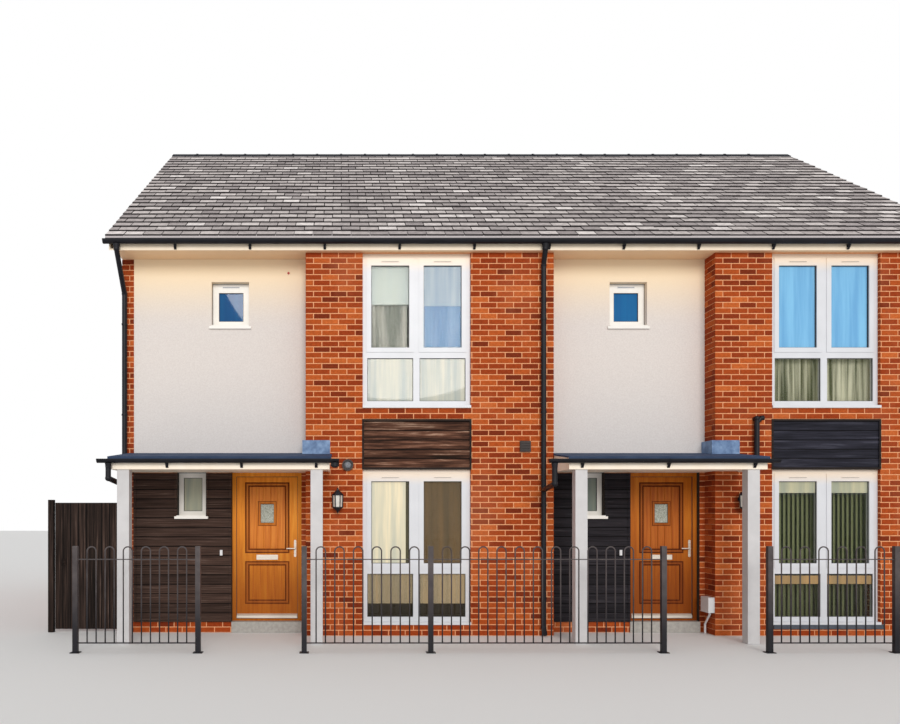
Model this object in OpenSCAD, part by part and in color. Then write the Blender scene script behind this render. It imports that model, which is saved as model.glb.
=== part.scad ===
// Two terraced houses of brick and render under one slated roof, with timber clad
// entrances, porch canopies on square posts, bow-top railings and a side gate.
// X runs along the row, the front faces -Y, and Z = 0 is the ground.
// X = 0 is the party line between the houses and Y = 0 lies under the ridge.

/* [Row] */
// Width of one house between its party lines
house_w = 5525; // [5300:25:6000]
// Depth from the front brick face to the rear brick face
house_d = 9000; // [8000:50:10000]
// Thickness of the outside walls, and depth of the entrance recess
wall_t = 327.5; // [290:2.5:360]
// Thickness of the party wall between the houses
party_t = 300; // [200:10:360]
// How far the end walls and the brick bays stand past a party line
end_out = 187; // [170:1:210]
// Brick face of the gable wall seen beside the render
gable_strip = 160; // [110:5:190]

/* [Levels] */
// Ground floor and door threshold above the ground
floor_z = 150; // [75:75:225]
// Underside of the first floor
storey_z = 2450; // [2400:10:2600]
// Thickness of the first floor
floor_t = 250; // [150:10:300]

/* [Roof] */
// Pitch of the roof
pitch = 33; // [25:1:40]
// Distance that the slates stand out past the brick face
eave_out = 150; // [130:5:220]
// Thickness of the roof from slates to ceiling line, square to the slope
roof_t = 150; // [120:5:200]
// Thickness of the slates with their battens
slate_t = 40; // [30:2:50]
// Exposed height of one course of slates along the slope
gauge = 222; // [200:1:240]
// Step from one course of slates to the next
slate_step = 9; // [5:1:14]
// Distance that the roof stands out past the gable wall
verge_out = 110; // [60:5:160]
// Width of one wing of a ridge tile
ridge_wing = 150; // [110:5:200]
// Thickness of a ridge tile
ridge_t = 18; // [12:1:25]
// Length of one ridge tile
ridge_len = 450; // [300:10:600]
// Height of the fascia board
fascia_h = 165; // [150:5:180]
// Thickness of fascia, soffit and verge boards
board_t = 18; // [12:1:22]

/* [Bay] */
// Start of the brick bay from the party line on its left
bay_u = 2374; // [2340:2:2450]
// Centre of the bay windows from the same line
bay_window_u = 3869; // [3700:1:4000]
// Width of the bay windows
bay_window_w = 1460; // [1300:10:1600]
// Height of the bay windows
bay_window_h = 2060; // [1900:10:2200]
// Height of the timber panel between the windows
panel_h = 680; // [600:10:760]
// Height of the brick band between the panel and the upper sill
band_h = 150; // [75:75:225]
// How far the timber panel is wider than the windows
panel_lap = 8; // [0:1:30]
// Depth of the pocket for the timber panel
panel_t = 60; // [40:5:80]
// Number of boards in the panel
panel_boards = 5; // [3:1:8]
// Height of a window sill
sill_h = 35; // [25:1:50]
// Distance that a sill stands out past its wall
sill_out = 30; // [15:1:45]
// Distance from the wall face back to a window frame
window_set = 55; // [30:1:90]
// Depth of a window frame
frame_d = 70; // [60:1:90]
// Face width of a window frame
frame_f = 64; // [50:1:80]
// Face width of the mullion and transom
mullion_f = 88; // [70:1:110]
// Face width of an opening sash
sash_f = 54; // [40:1:65]
// Height of the lower fixed lights
low_light_h = 583; // [450:1:700]
// Height of the trickle vent head on an opening sash
vent_head = 40; // [30:1:50]
// Thickness of a sealed glass unit
glass_t = 24; // [16:1:28]

/* [Small windows] */
// Centre of the upper small window from the party line
small_up_u = 1310; // [1100:5:1500]
// Width of the upper small window
small_up_w = 519; // [400:1:650]
// Height of the upper small window
small_up_h = 617; // [500:1:750]
// Distance from the soffit down to the upper small window
small_up_drop = 312; // [200:1:450]
// Centre of the ground floor small window from the party line
small_low_u = 776; // [600:1:900]
// Width of the ground floor small window
small_low_w = 403; // [320:1:500]
// Height of the ground floor small window
small_low_h = 609; // [500:1:700]
// Distance from the recess wall face back to the small windows
small_set = 100; // [60:1:130]

/* [Door] */
// Centre of the front door from the party line
door_u = 1813; // [1700:1:1830]
// Width of the door frame
door_w = 970; // [900:5:1000]
// Top of the door frame and of the small window beside it
door_head_z = 2220; // [2150:5:2290]
// Face width of the door frame beside the leaf
jamb_f = 38; // [30:1:60]
// Overlap of the frame's stop in front of the leaf
stop_f = 10; // [6:1:20]
// Depth of the door frame
door_frame_d = 75; // [65:1:90]
// Distance from the recess wall face back to the door frame
door_set = 90; // [60:1:120]
// Height of the threshold
threshold_h = 30; // [20:1:40]
// Thickness of the door leaf
leaf_t = 44; // [40:1:54]
// Gap round the door leaf
leaf_gap = 6.5; // [6.5:0.5:8]
// Width of the stiles of the door leaf
stile_w = 148; // [120:1:170]
// Height of the top rail of the leaf
head_rail_h = 107; // [90:1:150]
// Height of the bottom rail of the leaf
foot_rail_h = 212; // [150:1:230]
// Height of the middle rail with the letter plate
mid_rail_h = 148; // [130:1:190]
// Height of the lower panel
low_panel_h = 565; // [450:5:620]
// Depth of the panels on each face
panel_sink = 11; // [6:1:15]
// Width of the glass in the door
peep_w = 186; // [140:1:240]
// Height of the glass in the door
peep_h = 262; // [200:1:320]
// Height of the lever handle above the ground floor
lever_h = 1010; // [900:5:1080]
// Diameter of the knuckles of the door hinges
knuckle_d = 13; // [10:1:16]
// Height of a door hinge
hinge_h = 100; // [75:5:125]

/* [Cladding] */
// Exposed height of one cladding board
clad_pitch = 131.5; // [100:0.5:160]
// Thickness of a cladding board at its lower edge
clad_t = 35; // [25:1:45]
// Thickness of a cladding board at its upper edge
clad_thin = 14; // [8:1:18]

/* [Canopies] */
// Distance of the canopy fascia in front of the brick face
canopy_out = 758; // [600:1:850]
// Underside of the canopy
canopy_z = 2209; // [2209:1:2260]
// Height of the canopy fascia
canopy_fascia_h = 145; // [120:1:160]
// Rise of the canopy roof from front to back
canopy_rise = 115; // [80:1:150]
// Thickness of the canopy roof covering
canopy_roof_t = 20; // [12:1:30]
// Drip of the canopy roof past its fascia
canopy_drip = 24; // [10:1:40]
// Thickness of the canopy fascia boards
canopy_board_t = 22; // [15:1:30]
// Left end of the first canopy past the first party line
canopy_left_out = 71; // [40:1:110]
// Start of the second canopy right of the middle party line
canopy_inset = 197; // [195:1:260]
// Overlap of a canopy across the brick bay
canopy_lap = 325; // [290:5:350]
// Side of a porch post
post_w = 152; // [120:1:180]
// Distance from a canopy end to its post
post_in = 86; // [60:1:110]
// Height of the lead upstand on the brick bay
lead_h = 150; // [100:5:200]
// Thickness of the dressed lead
lead_t = 8; // [4:1:12]
// Thickness of the lead covered kerb on the return of the bay
lead_side_t = 50; // [10:1:70]

/* [Rainwater] */
// Width of the main half-round gutters
gutter_w = 112; // [100:2:130]
// Width of the canopy gutters
canopy_gutter_w = 104; // [76:2:112]
// Wall of a gutter
gutter_wall = 4; // [3:0.5:5]
// Spacing of the gutter brackets
bracket_gap = 1000; // [800:50:1200]
// Place of one gutter bracket right of the middle party line
bracket_x = 105; // [100:5:400]
// Diameter of the downpipes
pipe_d = 68; // [60:1:80]
// Gap from a wall to its pipe
pipe_off = 25; // [20:1:40]
// Height of the lowest clip of a downpipe
clip_z = 500; // [300:10:700]
// Spacing of the clips of a downpipe
clip_gap = 1250; // [900:10:1500]
// Length by which the first canopy's gutter passes its left end
gutter_left_1 = 142; // [100:1:185]
// Length by which the second canopy's gutter passes its left end
gutter_left_2 = 262; // [190:1:300]
// Length by which the canopy gutters pass their right ends
gutter_right = 122; // [100:1:185]
// Distance from the left end of the first canopy's gutter to its outlet
outlet_in_1 = 140; // [60:1:150]
// Distance from the left end of the second canopy's gutter to its outlet
outlet_in_2 = 65; // [60:1:150]
// Distance that the canopy gutters hang below the edge of the covering
gutter_drop = 14; // [0:1:20]
// Position of the gable pipe in from the end of the wall
gable_pipe_in = 43; // [40:1:70]
// Position of the party pipe right of the party line
party_pipe_x = 43; // [20:1:90]
// Diameter of the waste pipe on the second house
waste_d = 68; // [40:1:82]
// Place of the waste pipe right of the left end of the second bay
waste_u = 532; // [450:1:600]

/* [Railings] */
// Distance of the railings in front of the brick face
rail_out = 1386; // [1100:1:1600]
// Height of the railings to the top of a bow
rail_top = 1265; // [1100:5:1350]
// Height of the top rail of the railings
top_rail_z = 1108; // [950:2:1160]
// Height of the bottom rail of the railings
bottom_rail_z = 116; // [40:2:150]
// Spacing of the railing bars
bar_gap = 112; // [100:1:125]
// Diameter of a railing bar
bar_d = 16; // [12:1:20]
// Width of the flat rails that carry the bars
flat_w = 40; // [30:1:50]
// Thickness of the flat rails
flat_t = 10; // [8:1:14]
// Side of a railing post
rail_post_w = 60; // [50:1:80]
// Railing post beside the path, from the party line on its left
rail_start_u = 2408; // [2300:1:2500]
// Railing post in front of the bay window, from the same line
rail_mid_u = 3910; // [3700:1:4100]
// Railing post where the run ends past the next party line
rail_end_u = 1148; // [1000:1:1250]
// Distance that the first railing post stands past the gable wall
rail_first_out = 120; // [60:5:160]

/* [Side gate] */
// Width of the side gate
gate_w = 868; // [760:1:950]
// Height of the side gate
gate_h = 1800; // [1600:10:1900]
// Side of a gate post
gate_post_w = 75; // [60:1:100]
// Gap between the gate and the ground
gate_lift = 40; // [20:1:80]
// Gap between the gate and its posts
gate_gap = 8; // [6:1:12]
// Width of one gate board
gate_board_w = 123; // [100:1:150]
// Thickness of the gate boards
gate_board_t = 20; // [15:1:26]
// Thickness of the ledges behind the gate boards
ledge_t = 32; // [25:1:45]
// Height of one ledge
ledge_h = 95; // [70:1:120]

/* [Fittings] */
// Place of a lantern right of the left end of its bay
lantern_u = 428; // [380:1:480]
// Distance that the second lantern stands nearer to its door
lantern_shift = 85; // [0:1:120]
// Height of the arm of a lantern on the wall
lantern_z = 1830; // [1700:5:1950]
// Distance of a lantern in front of the wall
lantern_out = 120; // [100:1:150]
// Place of the round flue right of the left end of the first bay
flue_u = 563; // [520:1:640]
// Height of the flue
flue_z = 2303; // [2300:1:2330]
// Diameter of the flue
flue_d = 154; // [120:1:170]
// Side of the square vents
vent_w = 145; // [110:1:160]
// Distance from the end of a bay to its square vent
vent_in = 310; // [280:1:400]
// Underside of the square vents
vent_z = 2482; // [2400:1:2600]
// Distance from a door frame to its bell push
bell_in = 120; // [80:1:160]
// Distance that the meter box stands out of the return of the second bay
meter_out = 90; // [80:1:130]
// Width of the meter box
meter_w = 245; // [200:1:280]
// Height of the meter box
meter_h = 208; // [200:1:300]
// Underside of the meter box
meter_z = 305; // [200:1:400]

/* [Hidden] */
$fn = 48;

// Clearance where two pieces seat on each other along a slope or a curve
seat = 0.3;
// Length by which a cutter passes the face that it cuts
over = 1;
// Elbow diameter as a multiple of its pipe
elbow_k = 1.15;

// Main planes of the house, across its depth
y_brick = -house_d / 2;
y_recess = y_brick + wall_t;
y_hall_back = y_recess + wall_t;
y_rear = house_d / 2;
y_rear_in = y_rear - wall_t;
y_eave = y_rear + eave_out;
y_fascia = y_rear + eave_out / 2 + board_t;
x_left = -house_w - end_out;
x_right = house_w + end_out;
x_verge = x_left - verge_out;

// Window levels
head_gap = 5;
low_window_z = floor_z + sill_h;
panel_z = low_window_z + bay_window_h;
up_sill_z = panel_z + panel_h + band_h;
up_window_z = up_sill_z + sill_h;
soffit_z = up_window_z + bay_window_h + head_gap;
small_up_z = soffit_z - small_up_drop - small_up_h;

// Roof levels
fascia_top_z = soffit_z + fascia_h;
eave_z = fascia_top_z + slate_t / cos(pitch) - (y_eave - y_fascia) * tan(pitch) + seat;
ridge_z = roof_top(0);
gutter_z = roof_deck(y_eave) - 5;
outlet_z = gutter_z - gutter_w / 2 - seat;
y_outlet = y_fascia + gutter_w / 2 + 2 * gutter_wall;
function roof_top(y) = eave_z + (y_eave - abs(y)) * tan(pitch);
function roof_deck(y) = roof_top(y) - slate_t / cos(pitch);
function roof_under(y) = roof_top(y) - roof_t / cos(pitch);

// Places along the row: i is 0 for the first house and 1 for the second
function party_x(i) = (i - 1) * house_w;
function bay_x0(i) = party_x(i) + bay_u;
function bay_x1(i) = party_x(i + 1) + end_out;
function recess_x0(i) = i == 0 ? x_left + gable_strip : party_t / 2;
function recess_seen_x0(i) = i == 0 ? recess_x0(0) : end_out;
function recess_x1(i) = bay_x0(i) + wall_t;
function room_x0(i) = i == 0 ? x_left + wall_t : party_t / 2;
function room_x1(i) = i == 0 ? -party_t / 2 : x_right - wall_t;
function window_x(i) = party_x(i) + bay_window_u - bay_window_w / 2;
function door_x(i) = party_x(i) + door_u - door_w / 2;
function canopy_x0(i) = i == 0 ? -house_w - canopy_left_out : canopy_inset;
function canopy_x1(i) = bay_x0(i) + canopy_lap;

// Places of the windows in the depth of their walls, and the small windows' bars
y_window = y_brick + window_set;
small_low_z = door_head_z - small_low_h;
small_up_edge = frame_f + 24;
small_up_head = small_up_edge + vent_head;
small_low_edge = frame_f + 8;

// Plan of the rear windows: a tall one on each floor of each house
rear_window_u = house_w / 2;

// Door
y_door = y_recess + door_set;
y_leaf_in = y_door + door_frame_d;
leaf_x_in = jamb_f + leaf_gap;
leaf_w = door_w - 2 * leaf_x_in;
leaf_z = floor_z + threshold_h + leaf_gap;
leaf_h = door_head_z - jamb_f - leaf_gap - leaf_z;
panel_w = leaf_w - 2 * stile_w;
low_panel_z = leaf_z + foot_rail_h;
top_panel_z = low_panel_z + low_panel_h + mid_rail_h;
top_panel_h = leaf_z + leaf_h - head_rail_h - top_panel_z;
peep_z = top_panel_z + top_panel_h * 0.7 - peep_h;
glaze_t = 20;
glaze_bead = 22;
hinge_pin_d = 7;
flap_t = 2.2;
flap_w = 38;
hinge_in = 150;
hinge_x = jamb_f + leaf_gap / 2;
y_hinge = y_leaf_in + knuckle_d / 2;
hinge_zs = [leaf_z + hinge_in, leaf_z + (leaf_h - hinge_h) / 2, leaf_z + leaf_h - hinge_in - hinge_h];

// Canopies
y_canopy = y_brick - canopy_out;
canopy_top_z = canopy_z + canopy_fascia_h;
canopy_slope = canopy_rise / (y_recess - y_canopy);
soffit_lift = 12;
function canopy_deck(y) = canopy_top_z + (y - y_canopy) * canopy_slope;
canopy_gutter_z = canopy_deck(y_canopy - canopy_drip) - seat - gutter_drop;
canopy_outlet_z = canopy_gutter_z - canopy_gutter_w / 2 - seat;
y_canopy_outlet = y_canopy - canopy_gutter_w / 2 - 2 * gutter_wall;
branch_drops = [190, 260];
branch_fall = 60;
gutter_lefts = [gutter_left_1, gutter_left_2];
outlet_ins = [outlet_in_1, outlet_in_2];
hook_in = 165;
hook_gaps = [940, 1087];
neck_drop = 260;
function canopy_outlet_x(i) = canopy_x0(i) - gutter_lefts[i] + outlet_ins[i];
function branch_foot_z(i) = canopy_outlet_z - branch_drops[i] - branch_fall;
function clip_levels(top) = [for (z = clip_z; z < top - pipe_d; z = z + clip_gap) z];

// Railings
y_rail = y_brick - rail_out;
rail_left_posts = [x_left - rail_first_out, party_x(0) + rail_end_u];
rail_middle_posts = [party_x(0) + rail_start_u, party_x(0) + rail_mid_u, party_x(1) + rail_end_u];
rail_right_posts = [party_x(1) + rail_start_u, party_x(1) + rail_mid_u, x_right - rail_post_w / 2];
foot_plate_w = 110;
foot_plate_t = 8;

// Side gate
gate_x1 = x_left - gate_post_w - gate_gap;
gate_x0 = gate_x1 - gate_w;
y_gate = y_recess + gate_post_w;
gate_ledge_in = 160;
gate_ledges = [gate_lift + gate_ledge_in, gate_h / 2, gate_h - gate_ledge_in - ledge_h];
gate_eye_d = 24;
gate_eye_h = 40;
gate_pin_d = 14;
gate_pin_x = gate_x1 + gate_gap / 2;
gate_pin_y = y_gate + ledge_t + gate_eye_d / 2 + 1;
gate_hinge_zs = [for (k = [0, 2]) gate_ledges[k] + (ledge_h - gate_eye_h) / 2];

module block(x0, x1, y0, y1, z0, z1) {
    translate([x0, y0, z0]) cube([x1 - x0, y1 - y0, z1 - z0]);
}

// Sweeps a section drawn as (Y, Z) from one X to another
module along_x(x0, x1) {
    translate([x0, 0, 0]) rotate([90, 0, 90]) linear_extrude(x1 - x0) children();
}

// Piece of wall that rises to the underside of the roof
module wall_to_roof(x0, x1, y0, y1, z0) {
    top = y0 < 0 && y1 > 0
        ? [[y1, roof_under(y1) - seat], [0, roof_under(0) - seat], [y0, roof_under(y0) - seat]]
        : [[y1, roof_under(y1) - seat], [y0, roof_under(y0) - seat]];
    along_x(x0, x1) polygon(concat([[y0, z0], [y1, z0]], top));
}

// Round pipe through a list of points, with a swollen elbow at each bend
module pipe_run(points, d) {
    for (k = [0 : len(points) - 2]) {
        run = points[k + 1] - points[k];
        length = norm(run);
        translate(points[k])
            rotate([0, acos(run[2] / length), atan2(run[1], run[0])])
                cylinder(d = d, h = length);
        if (k > 0) translate(points[k]) sphere(d = d * elbow_k);
    }
}

// Rectangular ring in the XZ plane, open through its depth
module ring(x0, x1, y0, y1, z0, z1, side, bottom, top) {
    difference() {
        block(x0, x1, y0, y1, z0, z1);
        block(x0 + side, x1 - side, y0 - over, y1 + over, z0 + bottom, z1 - top);
    }
}

module ground_floor_slab() {
    color("gray") for (i = [0, 1]) {
        block(room_x0(i), room_x1(i), y_hall_back, y_rear_in, 0, floor_z);
        block(recess_x1(i), room_x1(i), y_recess, y_hall_back + over, 0, floor_z);
        block(door_x(i), door_x(i) + door_w, y_recess - sill_out, y_hall_back + over, 0, floor_z);
    }
}

module first_floor() {
    color("burlywood") for (i = [0, 1]) {
        block(room_x0(i), room_x1(i), y_hall_back, y_rear_in, storey_z, storey_z + floor_t);
        block(recess_x1(i), room_x1(i), y_recess, y_hall_back + over, storey_z, storey_z + floor_t);
    }
}

module gable_wall() {
    color("firebrick") difference() {
        wall_to_roof(x_left, x_left + wall_t, y_recess, y_rear_in, 0);
        block(x_left + gable_strip, x_left + wall_t + over, y_recess - over, y_hall_back, -over, ridge_z);
    }
}

module party_wall() {
    color("firebrick") wall_to_roof(-party_t / 2, party_t / 2, y_recess, y_rear_in, 0);
}

module end_party_wall() {
    color("firebrick") wall_to_roof(x_right - wall_t, x_right, y_recess, y_rear_in, 0);
}

module rear_wall() {
    color("firebrick") difference() {
        wall_to_roof(x_left, x_right, y_rear_in, y_rear, 0);
        for (i = [0, 1], z = [floor_z, up_sill_z])
            translate([party_x(i) + rear_window_u - bay_window_w / 2, y_rear_in - over, z])
                cube([bay_window_w, wall_t + 2 * over, bay_window_h + sill_h]);
    }
}

module bay_wall(i) {
    color("firebrick") difference() {
        wall_to_roof(bay_x0(i), bay_x1(i), y_brick, y_recess, 0);
        for (z = [floor_z, up_sill_z])
            translate([window_x(i), y_brick - over, z])
                cube([bay_window_w, wall_t + 2 * over, bay_window_h + sill_h]);
        translate([window_x(i) - panel_lap, y_brick - over, panel_z])
            cube([bay_window_w + 2 * panel_lap, panel_t + over, panel_h]);
    }
}

// Masonry beside the front door, below the head of the door frame
module hall_wall(i) {
    color("gainsboro") {
        difference() {
            block(recess_x0(i), door_x(i), y_recess, y_hall_back, 0, door_head_z);
            block(party_x(i) + small_low_u - small_low_w / 2, party_x(i) + small_low_u + small_low_w / 2,
                y_recess - over, y_hall_back + over, small_low_z, door_head_z + over);
        }
        block(door_x(i) + door_w, recess_x1(i), y_recess, y_hall_back, 0, door_head_z);
    }
}

module render_wall(i) {
    color("ivory") difference() {
        wall_to_roof(recess_x0(i), recess_x1(i), y_recess, y_hall_back, door_head_z);
        translate([party_x(i) + small_up_u - small_up_w / 2, y_recess - over, small_up_z])
            cube([small_up_w, wall_t + 2 * over, small_up_h]);
    }
}

// Feather-edged boards beside the door, cut round the small window
module timber_cladding(i) {
    y_face = y_recess - seat;
    count = ceil((canopy_z - floor_z) / clad_pitch);
    window_x0 = party_x(i) + small_low_u - small_low_w / 2;
    batten_w = 32;
    batten_out = 4;
    teeth = [for (k = [0 : count - 1]) each [
        [y_face - clad_t, floor_z + k * clad_pitch],
        [y_face - clad_thin, min(floor_z + (k + 1) * clad_pitch, canopy_z)]]];
    color(i == 0 ? [0.2, 0.15, 0.13] : [0.1, 0.1, 0.11]) difference() {
        union() {
            along_x(recess_seen_x0(i), door_x(i)) polygon(concat(
                [[y_face, canopy_z], [y_face, floor_z]], teeth));
            for (x = [recess_seen_x0(i), door_x(i) - batten_w])
                block(x, x + batten_w, y_face - clad_t - batten_out, y_face, floor_z, canopy_z);
            block(window_x0 - batten_w, window_x0 + small_low_w + batten_w, y_face - clad_t - batten_out,
                y_face, small_low_z - sill_h, canopy_z);
        }
        block(window_x0, window_x0 + small_low_w, y_face - clad_t - sill_out, y_face + over,
            small_low_z - over, door_head_z);
        block(window_x0 - batten_w - over, window_x0 + small_low_w + batten_w + over,
            y_face - clad_t - sill_out, y_face + over, small_low_z - sill_h, small_low_z);
    }
}

// Boarded panel between the bay windows, with its trim
module bay_panel(i) {
    x0 = window_x(i) - panel_lap;
    x1 = x0 + bay_window_w + 2 * panel_lap;
    trim = 28;
    groove = 8;
    board_h = (panel_h - 2 * trim) / panel_boards;
    color(i == 0 ? [0.25, 0.16, 0.12] : [0.1, 0.09, 0.1]) {
        difference() {
            block(x0, x1, y_brick + groove, y_brick + panel_t, panel_z, panel_z + panel_h);
            for (k = [1 : panel_boards - 1])
                block(x0 + trim, x1 - trim, y_brick, y_brick + 2 * groove,
                    panel_z + trim + k * board_h - groove / 2, panel_z + trim + k * board_h + groove / 2);
        }
        ring(x0, x1, y_brick - groove, y_brick + groove + over, panel_z, panel_z + panel_h, trim, trim, trim);
    }
}

// Tall window of two opening sashes over two fixed lights, on a sill
module tall_window(x0, y0, z0) {
    half = (bay_window_w - 2 * frame_f - mullion_f) / 2;
    up_z = frame_f + low_light_h + mullion_f;
    translate([x0, y0, z0]) {
        difference() {
            cube([bay_window_w, frame_d, bay_window_h]);
            for (k = [0, 1]) translate([frame_f + k * (half + mullion_f), -over, 0]) {
                translate([0, 0, frame_f]) cube([half, frame_d + 2 * over, low_light_h]);
                translate([sash_f, 0, up_z + sash_f])
                    cube([half - 2 * sash_f, frame_d + 2 * over,
                        bay_window_h - up_z - frame_f - 2 * sash_f - vent_head]);
            }
        }
        sash_lap = 9;
        for (k = [0, 1])
            translate([frame_f + k * (half + mullion_f) - sash_lap, -sash_lap, up_z - sash_lap])
                ring(0, half + 2 * sash_lap, 0, sash_lap + over, 0,
                    bay_window_h - up_z - frame_f + 2 * sash_lap, sash_f + sash_lap, sash_f + sash_lap,
                    sash_f + sash_lap + vent_head);
        translate([0, -window_set - sill_out, -sill_h])
            cube([bay_window_w, frame_d + window_set + sill_out, sill_h]);
    }
}

// The glass of one tall window
module tall_glass(x0, y0, z0) {
    half = (bay_window_w - 2 * frame_f - mullion_f) / 2;
    up_z = frame_f + low_light_h + mullion_f;
    translate([x0, y0 + (frame_d - glass_t) / 2, z0])
        for (k = [0, 1]) translate([frame_f + k * (half + mullion_f), 0, 0]) {
            translate([0, 0, frame_f]) cube([half, glass_t, low_light_h]);
            translate([sash_f, 0, up_z + sash_f])
                cube([half - 2 * sash_f, glass_t,
                    bay_window_h - up_z - frame_f - 2 * sash_f - vent_head]);
        }
}

// Single sash window, its frame, the hole for its glass, and a sill whose nose laps the wall below
module small_window(x0, z0, w, h, edge, head, sill_y) {
    sill_t = 12;
    ring(x0, x0 + w, y_recess + small_set, y_recess + small_set + frame_d, z0, z0 + h, edge, edge, head);
    block(x0, x0 + w, sill_y, y_recess - seat, z0 - over, z0 + sill_t);
    block(x0, x0 + w, y_recess - over, y_recess + small_set, z0, z0 + sill_t);
    block(x0 - sill_out, x0 + w + sill_out, sill_y, y_recess - seat, z0 - sill_h + seat, z0 - seat);
}

module small_glass(x0, z0, w, h, edge, head) {
    y_pane = y_recess + small_set + (frame_d - glass_t) / 2;
    block(x0 + edge, x0 + w - edge, y_pane, y_pane + glass_t, z0 + edge, z0 + h - head);
}

module bay_windows(i) {
    color("white") for (z = [low_window_z, up_window_z]) tall_window(window_x(i), y_window, z);
}

module small_windows(i) {
    color("white") {
        small_window(party_x(i) + small_up_u - small_up_w / 2, small_up_z, small_up_w, small_up_h,
            small_up_edge, small_up_head, y_recess - sill_out);
        small_window(party_x(i) + small_low_u - small_low_w / 2, small_low_z, small_low_w, small_low_h,
            small_low_edge, small_low_edge, y_recess - clad_t - sill_out);
    }
}

module front_glass(i) {
    color("lightblue") {
        for (z = [low_window_z, up_window_z]) tall_glass(window_x(i), y_window, z);
        small_glass(party_x(i) + small_up_u - small_up_w / 2, small_up_z, small_up_w, small_up_h,
            small_up_edge, small_up_head);
        small_glass(party_x(i) + small_low_u - small_low_w / 2, small_low_z, small_low_w, small_low_h,
            small_low_edge, small_low_edge);
    }
}

module rear_windows() {
    color("white") for (i = [0, 1], z = [low_window_z, up_window_z])
        translate([party_x(i) + rear_window_u, y_rear - window_set, z]) mirror([0, 1, 0])
            tall_window(-bay_window_w / 2, 0, 0);
}

module rear_glass() {
    color("lightblue") for (i = [0, 1], z = [low_window_z, up_window_z])
        tall_glass(party_x(i) + rear_window_u - bay_window_w / 2, y_rear - window_set - frame_d, z);
}

module door_frame(i) {
    x0 = door_x(i);
    color("peru") {
        ring(x0, x0 + door_w, y_door, y_leaf_in, floor_z, door_head_z, jamb_f, threshold_h, jamb_f);
        ring(x0, x0 + door_w, y_door, y_leaf_in - leaf_t - seat, floor_z, door_head_z,
            jamb_f + leaf_gap + stop_f, threshold_h, jamb_f + leaf_gap + stop_f);
    }
}

// Panelled leaf: grooved upper panel with a glazed hole, raised lower panel
module front_door(i) {
    x0 = door_x(i) + leaf_x_in;
    y0 = y_leaf_in - leaf_t;
    field_in = 45;
    groove = 8;
    color("peru") {
        difference() {
            block(x0, x0 + leaf_w, y0, y_leaf_in, leaf_z, leaf_z + leaf_h);
            for (y = [y0 - over, y_leaf_in - panel_sink]) {
                block(x0 + stile_w, x0 + leaf_w - stile_w, y, y + panel_sink + over,
                    top_panel_z, top_panel_z + top_panel_h);
                difference() {
                    block(x0 + stile_w, x0 + leaf_w - stile_w, y, y + panel_sink + over,
                        low_panel_z, low_panel_z + low_panel_h);
                    block(x0 + stile_w + field_in, x0 + leaf_w - stile_w - field_in, y - over,
                        y + panel_sink + 2 * over, low_panel_z + field_in, low_panel_z + low_panel_h - field_in);
                }
            }
            for (k = [1 : 5]) translate([x0 + stile_w + k * panel_w / 6, y0, 0]) {
                block(-groove / 2, groove / 2, 0, panel_sink + groove / 2, top_panel_z, top_panel_z + top_panel_h);
                block(-groove / 2, groove / 2, -over, groove / 2,
                    low_panel_z + field_in - over, low_panel_z + low_panel_h - field_in + over);
            }
            block(x0 + (leaf_w - peep_w) / 2, x0 + (leaf_w + peep_w) / 2, y0 - over, y_leaf_in + over,
                peep_z, peep_z + peep_h);
        }
        ring(x0 + (leaf_w - peep_w) / 2 - glaze_bead, x0 + (leaf_w + peep_w) / 2 + glaze_bead,
            y0 + 2, y0 + panel_sink + over, peep_z - glaze_bead, peep_z + peep_h + glaze_bead,
            glaze_bead, glaze_bead, glaze_bead);
    }
}

module door_glass(i) {
    x0 = door_x(i) + door_w / 2;
    y0 = y_leaf_in - (leaf_t + glaze_t) / 2;
    color("lightblue") block(x0 - peep_w / 2, x0 + peep_w / 2, y0, y0 + glaze_t, peep_z, peep_z + peep_h);
}

// Lever handles on long backplates on both faces, the letter plate and the weather bar
module door_furniture(i) {
    plate_w = 32;
    plate_h = 240;
    plate_t = 9;
    lever_len = 115;
    lever_d = 18;
    stand_off = 42;
    letter_w = 300;
    letter_h = 68;
    bar_h = 60;
    bar_out = 32;
    bar_gap_in = 6;
    bar_gap_out = 10;
    x_plate = door_x(i) + leaf_x_in + leaf_w - stile_w / 3;
    z_lever = floor_z + lever_h;
    color("silver") {
        for (side = [[y_leaf_in - leaf_t - seat, -1], [y_leaf_in + seat, 1]])
            translate([x_plate, side[0], z_lever]) scale([1, side[1], 1]) {
                hull() for (z = [-1, 1])
                    translate([0, plate_t, z * (plate_h - plate_w) / 2]) rotate([90, 0, 0])
                        cylinder(d = plate_w, h = plate_t, $fn = 32);
                rotate([-90, 0, 0]) cylinder(d = lever_d, h = stand_off);
                translate([0, stand_off, 0]) rotate([0, -90, 0]) cylinder(d = lever_d, h = lever_len);
                translate([0, stand_off, 0]) sphere(d = lever_d);
                translate([-lever_len, stand_off, 0]) sphere(d = lever_d);
            }
        for (z = hinge_zs) translate([door_x(i) + hinge_x, y_hinge, z]) difference() {
            for (k = [0, 2]) hinge_third(k, leaf_gap / 2 - flap_t - seat);
            translate([0, 0, -over]) cylinder(d = hinge_pin_d + 2 * seat, h = hinge_h + 2 * over);
        }
        x_mid = door_x(i) + door_w / 2;
        z_letter = top_panel_z - mid_rail_h / 2;
        block(x_mid - letter_w / 2, x_mid + letter_w / 2, y_leaf_in - leaf_t - plate_t - seat,
            y_leaf_in - leaf_t - seat, z_letter - letter_h / 2, z_letter + letter_h / 2);
        stop_in = leaf_x_in + stop_f;
        along_x(door_x(i) + stop_in + bar_gap_in, door_x(i) + door_w - stop_in - bar_gap_out)
            translate([y_leaf_in - leaf_t - seat, leaf_z])
                polygon([[0, 0], [-bar_out, 0], [-bar_out, bar_h * 0.6], [0, bar_h]]);
    }
}

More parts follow.
